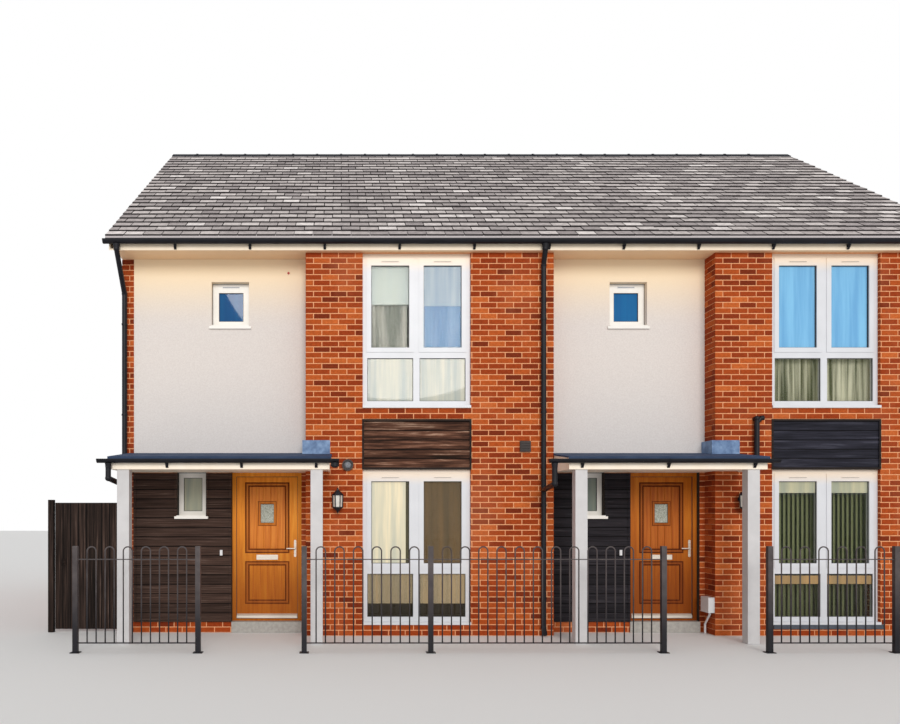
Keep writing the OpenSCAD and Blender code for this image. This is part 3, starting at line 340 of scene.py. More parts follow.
def facing(skin):
    return separate(skin, addNode(skin, "NewGeometry").outputs["Normal"])


# Rises smoothly from 0 at the start to 1 at the end
def smoothRise(skin, value, start, end):
    rise = addNode(skin, "MapRange", interpolation_type="SMOOTHSTEP")
    rise.inputs["From Min"].default_value = start
    rise.inputs["From Max"].default_value = end
    link(skin, value, rise.inputs["Value"])
    return rise.outputs["Result"]


# Noise between tones: warm tints bands of height, as painted soffit light and as a slate-toned eave band, fade
# darkens downwards, under tints what looks down as painted shade
def mottled(name, shades, rough, scale, bump=0.0, distance=0.001, at=(0.3, 0.7), stain=(1, 1, 1, 1), metal=0.0,
        detail=4.0, shine=0.5, warm=(), under=None, fade=None):
    stops = ramp(shades, at, stain)
    skin = newMaterial(name, stops[0][1], rough, metal, shine)
    noise = addNoise(skin, scale, detail)
    colour = addRamp(skin, noise, stops)
    if warm or fade:
        height = objectPlace(skin)["Z"]
    for foot, top, shade in warm:
        below = reckon(skin, "LESS_THAN", height, top + 0.15)
        band = reckon(skin, "MULTIPLY", smoothRise(skin, height, foot, top), below)
        colour = mixColours(skin, band, colour, tone(*shade))
    if fade:
        foot, top, low = fade
        level = mixColours(skin, smoothRise(skin, height, foot, top), (*low, 1), grey(1))
        colour = mixColours(skin, 1.0, colour, level, "MULTIPLY")
    # Painted shade on faces that look down
    if under:
        down = reckon(skin, "LESS_THAN", facing(skin)["Z"], -0.5)
        colour = mixColours(skin, down, colour, tone(*under))
    paint(skin, colour)
    if bump:
        addBump(skin, noise, bump, distance)
    return skin


# Painted shadow: darkens each slate just below the edge of the one that laps it, where that slate's shadow
# falls
def paintLapShadow(skin, colour):
    run = slates["gauge"] * math.cos(math.radians(slates["pitch"]))
    reach = reckon(skin, "ABSOLUTE", objectPlace(skin)["Y"])
    course = reckon(skin, "DIVIDE", reckon(skin, "SUBTRACT", slates["eaveY"], reach), run)
    band = smoothRise(skin, reckon(skin, "FRACT", course), *slates["lapShade"])
    return mixColours(skin, band, colour, tone(48, 44, 45))


# A tone for each brick or slate from a face attribute, under fine noise and wide patches of bloom; lapped adds
# painted lap shadow
def tonedByFace(name, attribute, shades, at, rough, grain, spread, bump, distance, bloom, lapped=False):
    stops = ramp(shades, at)
    skin = newMaterial(name, stops[0][1], rough, shine=0.15)
    value = addNode(skin, "Attribute", attribute_name=attribute)
    noise = addNoise(skin, grain, 6.0)
    shade = addRamp(skin, noise, ((0.3, grey(1 - spread)), (0.7, grey(1 + spread))))
    colour = mixColours(skin, 1.0, addRamp(skin, value.outputs["Fac"], stops), shade, "MULTIPLY")
    wide = addNoise(skin, (0.9, 0.9, 0.45), 5.0, 0.6)
    patch = addRamp(skin, wide, ((0.52, grey(0)), (0.75, grey(0.4))))
    colour = mixColours(skin, patch, colour, tone(*bloom))
    paint(skin, paintLapShadow(skin, colour) if lapped else colour)
    addBump(skin, noise, bump, distance)
    return skin


# Boards across an axis, each with its own tone and a dark line at one edge of each board
def boardedTimber(name, shades, at, rough, width, foot, grain=(1.6, 9, 60), line=0.0, spread=0.25, axis="Z"):
    stops = ramp(shades, at)
    skin = newMaterial(name, stops[0][1], rough, shine=0.15)
    place = reckon(skin, "DIVIDE", reckon(skin, "SUBTRACT", objectPlace(skin)[axis], foot), width)
    chance = addNode(skin, "TexWhiteNoise", noise_dimensions="1D")
    link(skin, reckon(skin, "FLOOR", place), chance.inputs["W"])
    streaks = addNoise(skin, grain, 8.0, 0.65)
    shade = addRamp(skin, chance.outputs["Value"], ((0.0, grey(1 - spread)), (1.0, grey(1 + spread))))
    colour = mixColours(skin, 1.0, addRamp(skin, streaks, stops), shade, "MULTIPLY")
    if line:
        edge = reckon(skin, "GREATER_THAN", reckon(skin, "FRACT", place), 1 - line)
        colour = mixColours(skin, edge, colour, tone(10, 8, 8))
    paint(skin, colour)
    addBump(skin, streaks, 0.35, 0.002)
    return skin


# Mortar on the faces and a second tone in the reveals, in brick courses when coursed; the plain dark tone
# without courses is painted shade
def mortarWithReveals(name, shades, coursed=True):
    skin = newMaterial(name, tone(234, 166, 120), 0.95, shine=0.15)
    lined = reckon(skin, "GREATER_THAN", reckon(skin, "ABSOLUTE", facing(skin)["X"]), 0.5)
    if coursed:
        course = reckon(skin, "DIVIDE", objectPlace(skin)["Z"], brickwork["course"])
        joint = brickwork["joint"] / brickwork["course"]
        above = reckon(skin, "GREATER_THAN", reckon(skin, "FRACT", course), joint)
        lined = reckon(skin, "MULTIPLY", lined, above)
    noise = addNoise(skin, 30)
    sand = addRamp(skin, noise, ramp(((222, 154, 108), (242, 180, 134))))
    paint(skin, mixColours(skin, lined, sand, addRamp(skin, noise, ramp(shades))))
    addBump(skin, noise, 0.3, 0.002)
    return skin


# Glass with what hangs or shows right behind it, and painted reflections: each tint is a span in X and Z, a
# tone and how much it covers
def tintedPanes(name, tints):
    colour, cover = tone(84, 92, 90), grey(0.2)
    skin = newMaterial(name, colour, 0.02, shine=0.3)
    shader = shaderOf(skin)
    shader["Alpha"].default_value = 0.2
    shader["IOR"].default_value = 1.5
    place = objectPlace(skin)
    for (x0, x1, z0, z1), shade, share in tints:
        inside = reckon(skin, "GREATER_THAN", place["X"], x0)
        for axis, test, edge in (("X", "LESS_THAN", x1), ("Z", "GREATER_THAN", z0), ("Z", "LESS_THAN", z1)):
            inside = reckon(skin, "MULTIPLY", inside, reckon(skin, test, place[axis], edge))
        colour = mixColours(skin, inside, colour, tone(*shade))
        cover = mixColours(skin, inside, cover, grey(share))
    # Soft noise over the glass tone: painted uneven reflections
    cloud = addRamp(skin, addNoise(skin, (10, 10, 0.6), 3.0), ((0.35, (0.78, 0.84, 0.90, 1)),
        (0.65, (1.20, 1.14, 1.06, 1))))
    paint(skin, mixColours(skin, 1.0, colour, cloud, "MULTIPLY"))
    link(skin, cover, shader["Alpha"])
    return skin


light = {"sky": (0.62, 1.0), "sun": 1.68, "tilt": 70, "turn": 4, "softness": 25, "colour": (1.0, 0.975, 0.94),
    "ground": 0.8, "groundHalf": 60}


# Sky seen at full strength by the camera and in glass, weaker where it lights, and a low soft sun
def addLight():
    scene = bpy.context.scene
    world = scene.world = scene.world or bpy.data.worlds.new("World")
    world.use_nodes = True
    back = world.node_tree.nodes["Background"]
    back.inputs["Color"].default_value = grey(1)
    rays = addNode(world, "LightPath").outputs
    seen = reckon(world, "MAXIMUM", rays["Is Camera Ray"], rays["Is Glossy Ray"])
    strength = addNode(world, "MapRange")
    strength.inputs["To Min"].default_value, strength.inputs["To Max"].default_value = light["sky"]
    link(world, reckon(world, "MAXIMUM", seen, rays["Is Transmission Ray"]), strength.inputs["Value"])
    link(world, strength.outputs["Result"], back.inputs["Strength"])
    bpy.ops.object.light_add(type="SUN",
        rotation=(math.radians(light["tilt"]), 0, math.radians(light["turn"])))
    sun = bpy.context.object
    sun.name = "soft_sun"
    sun.data.energy = light["sun"]
    sun.data.angle = math.radians(light["softness"])
    sun.data.color = light["colour"]
    scene.view_settings.view_transform = "Standard"
    reach = light["groundHalf"]
    floor = addBlock("ground_plane", (-reach, -reach, -0.03), (reach, reach, -0.002))
    floor.data.materials.append(newMaterial("pale_ground", grey(light["ground"]), 0.9))


# One vector for each vertex or face of a mesh
def readAll(items, key):
    values = numpy.empty(len(items) * 3)
    items.foreach_get(key, values)
    return values.reshape(-1, 3)


brickwork = {"length": 0.2125, "joint": 0.0125, "course": 0.075, "proud": 0.005, "pillow": 0.0015,
    "rim": 0.004}
wall = {"left": -5.712, "right": 5.712, "front": -4.5, "recess": -4.1725, "rear": 4.5, "soffit": 5.175,
    "strip": 0.160, "party": 0.187, "bay": (-3.151, 2.374), "bayEnd": (0.187, 5.712),
    "doorEnd": (-3.227, 2.298), "plinth": 0.15, "nibTop": 2.209, "gableTop": 8.2, "underSlates": 0.215}


# Brick courses: one brick, arrayed on the wall's own grid, then cut at the wall's edges
def layZone(name, zone, header):
    u0, u1, z0, z1 = zone
    step = brickwork["length"] + brickwork["joint"]
    course, bed = brickwork["course"], brickwork["joint"] / 2
    firstRow = 2 * math.floor(z0 / (2 * course) + nearly)
    rows = math.ceil((z1 / course - firstRow) / 2 - nearly)
    firstColumn = math.floor(u0 / step) - 1
    columns = math.ceil(u1 / step) - firstColumn + 1
    left = firstColumn * step
    brick = addBlock(name, (left, -brickwork["proud"] + brickwork["pillow"], firstRow * course + bed),
        (left + brickwork["length"], 0, (firstRow + 1) * course - bed))
    pushFaces(brick, "y", -1, (0, -brickwork["pillow"], 0), brickwork["rim"])
    repeat(brick, columns, (step, 0, 0))
    stagger(brick, (step / 2, 0, course))
    if header:
        placeAt(brick, (step / 2, 0, 0))
    repeat(brick, rows, (0, 0, 2 * course))
    cutAway(brick, ((u0, 0, 0), (-1, 0, 0)), ((u1, 0, 0), (1, 0, 0)), ((0, 0, z0), (0, 0, -1)),
        ((0, 0, z1), (0, 0, 1)))
    return brick


# One random tone for each brick of the grid, for all its faces
def toneCells(piece, attribute, width, height, header, seed):
    mesh = piece.data
    centres = readAll(mesh.polygons, "center")
    rows = numpy.floor(centres[:, 2] / height).astype(int)
    shift = ((rows + (1 if header else 0)) % 2) * width / 2
    columns = numpy.floor((centres[:, 0] - shift) / width).astype(int)
    down, across = 97, 89
    table = numpy.random.default_rng(seed).random((down, across))
    tones = mesh.attributes.new(attribute, "FLOAT", "FACE").data
    tones.foreach_set("value", table[rows % down, columns % across])


def layBricks(name, corner, turn, zones, roofCuts=(), header=False, seed=1):
    piece = joinPieces(name, [layZone(name, zone, header) for zone in zones])
    cutAway(piece, *roofCuts)
    toneCells(piece, "brickTone", brickwork["length"] + brickwork["joint"], brickwork["course"], header, seed)
    return placeAt(piece, corner, (0, 0, math.radians(turn)))


window = {"left": (-2.386, 3.139), "width": 1.460, "height": 2.060, "foot": (0.185, 3.110), "front": -4.445,
    "edge": 0.064, "mullion": 0.088, "sash": 0.054, "lowLight": 0.583, "ventHead": 0.040, "glassFront": -4.422,
    "rearMiddle": (-2.7625, 2.7625), "doorLeft": (-4.197, 1.328), "smallFront": -4.0725, "houseStep": 5.525,
    "smallUp": (-4.4745, -3.9555, 4.246, 4.863, 0.088, 0.128), "panelTop": 2.925, "sill": 0.035,
    "smallLow": (-4.9505, -4.5475, 1.611, 2.220, 0.072, 0.072)}


# A bay window's opening in X, less a side
def opening(i, side=0):
    return window["left"][i] + side, window["left"][i] + window["width"] - side


# Zones of one window's width: below the lower window and between the two
def betweenWindows(a, b, between):
    low, high = window["foot"]
    return [(a, b, 0, low - window["sill"]), (a, b, between, high - window["sill"])]


def addBrickwork(skin):
    proud, soffit, recess = brickwork["proud"], wall["soffit"], wall["recess"]
    depth = recess - wall["front"]
    fronts = []
    for i in houses:
        x0, x1 = wall["bay"][i] - proud, wall["bayEnd"][i] + (proud if i == 0 else 0)
        a, b = (x - x0 for x in opening(i))
        zones = [(0, a, 0, soffit), (b, x1 - x0, 0, soffit)] + betweenWindows(a, b, window["panelTop"])
        fronts.append(layBricks("bay_bricks", (x0, wall["front"], 0), 0, zones, seed=3 + i))
        fronts.append(layBricks("bay_return_bricks", (wall["bay"][i], recess, 0), -90,
            ((0, depth, 0, soffit),), header=True, seed=7 + i))
    fronts.append(layBricks("bay_end_bricks", (wall["bayEnd"][0], wall["front"], 0), 90,
        ((0, depth, 0, soffit),), header=True, seed=9))
    flats = [("gable_strip_bricks", wall["left"] - proud, wall["left"] + wall["strip"], soffit, 12)]
    for i in houses:
        flats.append(("plinth_bricks", (wall["left"] + wall["strip"], wall["party"])[i], window["doorLeft"][i],
            wall["plinth"], 14 + i))
        flats.append(("nib_bricks", wall["doorEnd"][i], wall["bay"][i], wall["nibTop"], 16 + i))
    for name, left, right, top, seed in flats:
        fronts.append(layBricks(name, (left, recess, 0), 0, ((0, right - left, 0, top),), seed=seed))
    finishJoined("front_brickwork", fronts, skin, "brick")

    pitch = math.radians(slates["pitch"])
    along = wall["rear"] - recess
    ridge = slates["eaveTop"] + slates["eaveY"] * math.tan(pitch) - wall["underSlates"]
    cuts = [((along + recess, 0, ridge), (side * math.sin(pitch), 0, math.cos(pitch))) for side in (-1, 1)]
    gable = layBricks("gable_brickwork", (wall["left"], wall["rear"], 0), -90, ((0, along, 0,
        wall["gableTop"]),), cuts, header=True, seed=21)
    finishPiece(gable, skin, "brick")

    half = window["width"] / 2
    edges = [0, *(wall["right"] - window["rearMiddle"][k] + side for k in (1, 0) for side in (-half, half)),
        wall["right"] - wall["left"]]
    zones = [(edges[k], edges[k + 1], 0, soffit) for k in (0, 2, 4)]
    for k in (1, 3):
        zones += betweenWindows(edges[k], edges[k + 1], window["foot"][0] + window["height"])
    rear = layBricks("rear_brickwork", (wall["right"], wall["rear"], 0), 180, zones, seed=31)
    finishPiece(rear, skin, "brick")


# lapShade is the band of each course given painted shadow below the slate that laps it; edgeBelow picks the
# slate edges given painted shade
slates = {"width": 0.2525, "gap": 0.011, "gauge": 0.222, "lap": 0.004, "thick": 0.018, "step": 0.016,
    "pitch": 33.0, "rim": 0.003, "crown": 0.0012, "eaveY": 4.650, "eaveTop": 5.35098, "ridgeCover": 0.125,
    "coursePairs": 13, "vergeGap": 0.001, "jitter": (0.0010, 0.0026, 0.0008), "jitterMost": 0.006,
    "lapShade": (0.79, 0.93), "thinFrom": 0.13, "thinLeast": 0.1, "thinRate": 2.2, "toneFrom": 0.1,
    "edgeBelow": 0.7}


# Slates: one slate, arrayed with a half-slate stagger, jittered, and cut at verge and ridge
def addSlates(skin):
    pitch = math.radians(slates["pitch"])
    rise, run = slates["gauge"] * math.sin(pitch), slates["gauge"] * math.cos(pitch)
    width, eaveY, eaveTop = slates["width"], slates["eaveY"], slates["eaveTop"]
    x0, x1 = (corner.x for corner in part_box("roof_front"))
    slate = addBlock("slates", (0, 0, 0), (width - slates["gap"], slates["gauge"] + slates["lap"],
        slates["thick"]))
    pushFaces(slate, "z", 1, (0, 0, slates["crown"]), slates["rim"])
    placeAt(slate, (x0 - width, -eaveY, eaveTop), (math.atan2(rise - slates["step"], run), 0, 0))
    cornersEach, facesEach = len(slate.data.vertices), len(slate.data.polygons)
    repeat(slate, math.ceil((x1 - x0) / width) + 2, (width, 0, 0))
    stagger(slate, (width / 2, run, rise))
    repeat(slate, slates["coursePairs"], (0, 2 * run, 2 * rise))
    untouched = copyPiece(slate, "slates_kept")
    for side, name, seed in ((-1, "front_slates", 40), (1, "rear_slates", 42)):
        piece = slate if side < 0 else copyPiece(untouched, name, turn=180)
        mesh = piece.data
        chance = numpy.random.default_rng(seed)
        count = len(mesh.vertices) // cornersEach
        corners = readAll(mesh.vertices, "co").reshape(count, cornersEach, 3)
        shove = chance.normal(0, 1, (count, 1, 3)) * numpy.array(slates["jitter"])
        corners += numpy.clip(shove, -slates["jitterMost"], slates["jitterMost"])
        reach = numpy.abs(corners[:, :, 1])
        plane = eaveTop + (eaveY - reach) * math.tan(pitch)
        thin = slates["thinLeast"] + slates["thinRate"] * (reach - slates["thinFrom"])
        corners[:, :, 2] = plane + (corners[:, :, 2] - plane) * numpy.clip(thin, slates["thinLeast"], 1)
        mesh.vertices.foreach_set("co", corners.ravel())
        layer = mesh.attributes.new("slateTone", "FLOAT", "FACE")
        tones = numpy.repeat(slates["toneFrom"] + (1 - slates["toneFrom"]) * chance.random(count), facesEach)
        # Painted shade: faces that don't look up, the slates' edges, get the near-black first tone
        tones[readAll(mesh.polygons, "normal")[:, 2] < slates["edgeBelow"]] = 0  # the ramp's first tone
        layer.data.foreach_set("value", tones)
        cutAway(piece, ((x0 + slates["vergeGap"], 0, 0), (-1, 0, 0)), ((x1 - slates["vergeGap"], 0, 0),
            (1, 0, 0)), ((0, side * slates["ridgeCover"], 0), (0, -side, 0)))
        piece.name = name
        finishPiece(piece, skin, "slate")
    bpy.data.objects.remove(untouched)


# Panes of a bay window, as spans in X and Z: two low lights and two sashes over them
def panes(i, level):
    edge, mullion, sash = window["edge"], window["mullion"], window["sash"]
    half = (window["width"] - 2 * edge - mullion) / 2
    x0, z0 = window["left"][i], window["foot"][level]
    upper = edge + window["lowLight"] + mullion
    for k in (0, 1):
        left = x0 + edge + k * (half + mullion)
        yield left, left + half, z0 + edge, z0 + edge + window["lowLight"], "low"
        yield (left + sash, left + half - sash, z0 + upper + sash,
            z0 + window["height"] - edge - sash - window["ventHead"], "high")


seal = {"width": 0.006, "deep": 0.012, "outerWidth": 0.008, "outerOver": 0.001, "outerY": (-0.002, 0.004),
    "innerY": (0.006, 0.016)}
trickle = {"half": 0.12, "tall": 0.009, "slitHalf": 0.115, "slitFoot": 0.004, "slitHead": 0.001,
    "round": 0.002, "bayRise": 0.053, "smallRise": -0.050, "bayY": (-4.4625, -4.4535),
    "baySlitY": (-4.4635, -4.4620), "smallY": (-0.009, 0.001), "smallSlitY": (-0.0105, -0.008)}


def addWindowParts():
    seals, vents, slits = [], [], []

    def addVent(middle, top, shell, slit, slitTop):
        half, tall, slitHalf = trickle["half"], trickle["tall"], trickle["slitHalf"]
        vents.append(addBlock("vent", (middle - half, shell[0], top - tall), (middle + half, shell[1],
            top + tall)))
        slits.append(addBlock("slit", (middle - slitHalf, slit[0], top - trickle["slitFoot"]),
            (middle + slitHalf, slit[1], top - slitTop)))

    for i in houses:
        front = window["glassFront"]
        for level in (0, 1):
            for x0, x1, z0, z1, kind in panes(i, level):
                seals.append(addRing("seal", (x0, front - seal["deep"], z0), (x1, front, z1), seal["width"]))
                if kind == "high":
                    addVent((x0 + x1) / 2, z1 + trickle["bayRise"], trickle["bayY"], trickle["baySlitY"],
                        trickle["slitHead"])
        face = window["smallFront"]
        for x0, x1, z0, z1, edge, head in (window["smallUp"], window["smallLow"]):
            x0, x1 = x0 + i * window["houseStep"], x1 + i * window["houseStep"]
            over, outer, inner = seal["outerOver"], seal["outerY"], seal["innerY"]
            # The outer dark ring is a seal drawn dark for the shadow line round the frame: partly painted
            # shade
            seals.append(addRing("seal", (x0 - over, face + outer[0], z0 - over), (x1 + over, face + outer[1],
                z1 + over), seal["outerWidth"]))
            seals.append(addRing("seal", (x0 + edge, face + inner[0], z0 + edge), (x1 - edge, face + inner[1],
                z1 - head), seal["width"]))
            if head > edge:  # only the upper one has a vent
                addVent((x0 + x1) / 2, z1 + trickle["smallRise"], [face + y for y in trickle["smallY"]],
                    [face + y for y in trickle["smallSlitY"]], 0)
    finishJoined("window_seals", seals, rubber, "black_plastic")
    vent = joinPieces("trickle_vents", vents)
    roundEdges(vent, trickle["round"])
    finishPiece(vent, white, "white_frame")
    finishJoined("trickle_vent_slits", slits, rubber, "black_plastic")


curtain = {"middle": ((-0.12, -0.02), (-0.01, 0.01)), "folds": ((8, 9), (8, 8)), "depth": (0.026, 0.03),
    "seed": ((5, 6), (7, 8)), "side": 0.02, "foot": 0.03, "head": 0.035, "y": 0.1325, "scatter": (0.8, 1.25),
    "phase": 6.28, "spread": (0.55, 0.45)}
rail = {"side": 0.012, "y": (0.12, 0.145), "z": (0.035, 0.0005)}
blinds = {"vaneStep": (0.075, 0.062), "vaneLean": (30, 42), "vaneWidth": 0.089, "vaneBow": 0.006,
    "vaneHead": 0.036, "slatStep": 0.0235, "slatHalf": 0.0125, "slatLean": 14, "thin": 0.0006,
    "slatFoot": 0.62, "slatHead": 0.05, "slatSide": 0.03, "slatY": 0.095, "base": (0.009, 0.022, 0.002)}


# A cloth hung from a rail in uneven folds that open downwards
def hangCloth(name, span, y, foot, head, folds, depth, skin, seed):
    chance = random.Random(seed)
    across, up = folds * 10, 8
    deselectAll()
    bpy.ops.mesh.primitive_grid_add(x_subdivisions=across, y_subdivisions=up, size=1)
    cloth = nameLast(name)
    phases = [(chance.uniform(*curtain["scatter"]), chance.uniform(0, curtain["phase"])) for wave in range(3)]
    width, height = span[1] - span[0], head - foot

    def place(u, v):
        wave = sum(math.sin(2 * math.pi * folds * scale * u + phase) for scale, phase in phases) / 3
        spread = curtain["spread"][0] + curtain["spread"][1] * (1 - v)
        return (span[0] + u * width, y + depth * wave * spread, foot + v * height)

    for corner in cloth.data.vertices:
        corner.co = place(corner.co.x + 0.5, corner.co.y + 0.5)
    activate(cloth)
    bpy.ops.object.shade_smooth()
    finishPiece(cloth, skin, "white_plastic")


def addVanes(name, span, y, foot, head, step, lean, skin):
    half, thin = blinds["vaneWidth"] / 2, blinds["thin"]
    count = int((span[1] - span[0]) / step)
    start = (span[0] + span[1] - (count - 1) * step) / 2
    vane = addBlock(name, (-half, -thin, foot), (half, thin, head))
    selectFacing(vane, "y")
    bpy.ops.mesh.subdivide(number_cuts=3)
    setMode("OBJECT")
    for corner in vane.data.vertices:
        corner.co.y += blinds["vaneBow"] * (1 - (corner.co.x / half) ** 2)
    placeAt(vane, (start, y, 0), (0, 0, math.radians(lean)))
    repeat(vane, count, (step, 0, 0))
    finishPiece(vane, skin, "white_plastic")


def addSlatBlind(name, span, y, foot, head, skin):
    step, half, thin = blinds["slatStep"], blinds["slatHalf"], blinds["thin"]
    slat = addBlock(name, (span[0], -thin, -half), (span[1], thin, half))
    placeAt(slat, (0, y, foot + half), (math.radians(blinds["slatLean"]), 0, 0))
    repeat(slat, int((head - foot) / step), (0, 0, step))
    baseHalf, baseFoot, baseHead = blinds["base"]
    base = addBlock("slat_foot", (span[0], y - baseHalf, foot - baseFoot), (span[1], y + baseHalf,
        foot - baseHead))
    roundEdges(base)
    finishJoined(name, [slat, base], skin, "white_plastic")


def addCurtains():
    front, (low, high), tall = window["front"], window["foot"], window["height"]
    for i in houses:
        for level in (0, 1):
            head = window["foot"][level] + tall
            x0, x1 = opening(i, rail["side"])
            bar = addBlock("curtain_rail_%d_%d" % (i + 1, level + 1), (x0, front + rail["y"][0],
                head - rail["z"][0]), (x1, front + rail["y"][1], head - rail["z"][1]))
            roundEdges(bar)
            finishPiece(bar, whitePlastic, "white_plastic").name
    y = front + curtain["y"]
    for k, (a, b, z0, z1) in enumerate([pane[:4] for pane in panes(0, 1) if pane[4] == "high"]):
        addSlatBlind("slat_blind_%d" % (k + 1), (a - blinds["slatSide"], b + blinds["slatSide"]),
            front + blinds["slatY"], z0 + blinds["slatFoot"], z1 + blinds["slatHead"], pleats)
    for i, cloths, vane in ((0, (greyCloth, netCloth), beigeVane), (1, (oliveCloth, oliveCloth), oliveVane)):
        x0, x1 = opening(i, curtain["side"])
        edges = [(x0 + x1) / 2 + offset for offset in curtain["middle"][i]]
        for k, (side, span) in enumerate((("left", (x0, edges[0])), ("right", (edges[1], x1)))):
            hangCloth("curtain_%d_%s" % (i + 1, side), span, y, high + curtain["foot"],
                high + tall - curtain["head"], curtain["folds"][i][k], curtain["depth"][i], cloths[k],
                curtain["seed"][i][k])
        addVanes("vanes_%d" % (i + 1), (x0, x1), y, low + curtain["foot"], low + tall - blinds["vaneHead"],
            blinds["vaneStep"][i], blinds["vaneLean"][i], vane)


lantern = {"x": (-2.723, 2.717), "y": -4.6203, "foot": 1.730, "glass": 0.170, "hood": 0.062, "tail": 0.058,
    "cage": (0.064, 0.070), "panes": (0.060, 0.066), "paneGap": 0.003, "rod": 0.018, "turn": 30,
    "armRise": 0.107, "armReach": 0.060, "arm": 0.014, "rose": 0.045, "roseRise": 0.114, "roseDeep": 0.014,
    "roseRound": 0.004}


# Coach lanterns: six panes in a frame, hood, finial, tapered foot and the arm from its rose
def addLanterns():
    metal, lights = [], []
    foot, tall, hoodTall, tail = lantern["foot"], lantern["glass"], lantern["hood"], lantern["tail"]
    y, turn, gap, hood = lantern["y"], lantern["turn"], lantern["paneGap"], foot + tall
    wallY = wall["front"] - brickwork["proud"]
    for x in lantern["x"]:
        cage = addCone("cage", (x, y, foot), *lantern["cage"], tall, turn=turn)
        lights.append(addCone("lamp_panes", (x, y, foot + gap), *lantern["panes"], tall - 2 * gap, turn=turn))
        addModifier(cage, "WIREFRAME", thickness=lantern["rod"], use_replace=True)
        metal.append(cage)
        # Each tier has its foot, its lower and upper radius and its height
        for z, low, high, deep in ((hood, 0.077, 0.074, 0.008), (hood + 0.008, 0.072, 0.026, hoodTall - 0.012),
                (hood + hoodTall - 0.004, 0.020, 0.014, 0.020), (foot - 0.010, 0.060, 0.068, 0.010),
                (foot - tail, 0.012, 0.056, tail - 0.010)):
            metal.append(addCone("tier", (x, y, z), low, high, deep, turn=turn))
        for z, radius in ((hood + hoodTall + 0.022, 0.012), (foot - tail - 0.006, 0.011)):
            bpy.ops.mesh.primitive_uv_sphere_add(segments=16, ring_count=8, radius=radius, location=(x, y, z))
            metal.append(nameLast("ball"))
            bpy.ops.object.shade_smooth()
            settle(metal[-1])
        bpy.ops.mesh.primitive_cylinder_add(vertices=32, radius=lantern["rose"], depth=lantern["roseDeep"],
            location=(x, wallY - lantern["roseDeep"] / 2, foot + lantern["roseRise"]),
            rotation=(math.radians(90), 0, 0))
        rose = settle(nameLast("rose"))
        roundEdges(rose, lantern["roseRound"], 3)
        z = foot + lantern["armRise"]
        metal += [rose, addBar("arm", (x, wallY, z), (x, y + lantern["armReach"], z), lantern["arm"])]
    finishJoined("lanterns", metal, blackSteel, "black_steel", replaced=["wall_lanterns"])
    finishJoined("lantern_panes", lights, lampGlass, "glass")


door = {"stile": 0.148, "headRail": 0.107, "footRail": 0.212, "middleRail": 0.148, "lowPanel": 0.565,
    "groove": 0.018, "bead": 0.026, "beadRound": 0.004, "planks": 5, "plankGap": 0.0015, "plankRound": 0.0045,
    "plankLeast": 0.005, "glassBead": (0.122, 0.034, 0.029), "glassGroove": (0.100, 0.007, 0.009),
    "beadEdge": (0.007, 0.0075), "outerGrooveY": (0.002, 0.0012), "beadY": (0.011, 0.005),
    "innerGrooveY": (0.011, 0.0005), "glassBeadY": (0.011, 0.004), "glassGrooveY": (0.012, 0.0),
    "beadEdgeY": (0.010, 0.001), "plankY": (0.011, 0.002)}
doorSeal = {"side": 0.003, "foot": 0.0065, "y": (0.008, 0.0006), "width": 0.013}


# Bounds in X and Z, made larger all round
def grown(bounds, more):
    return (bounds[0] - more, bounds[1] + more, bounds[2] - more, bounds[3] + more)


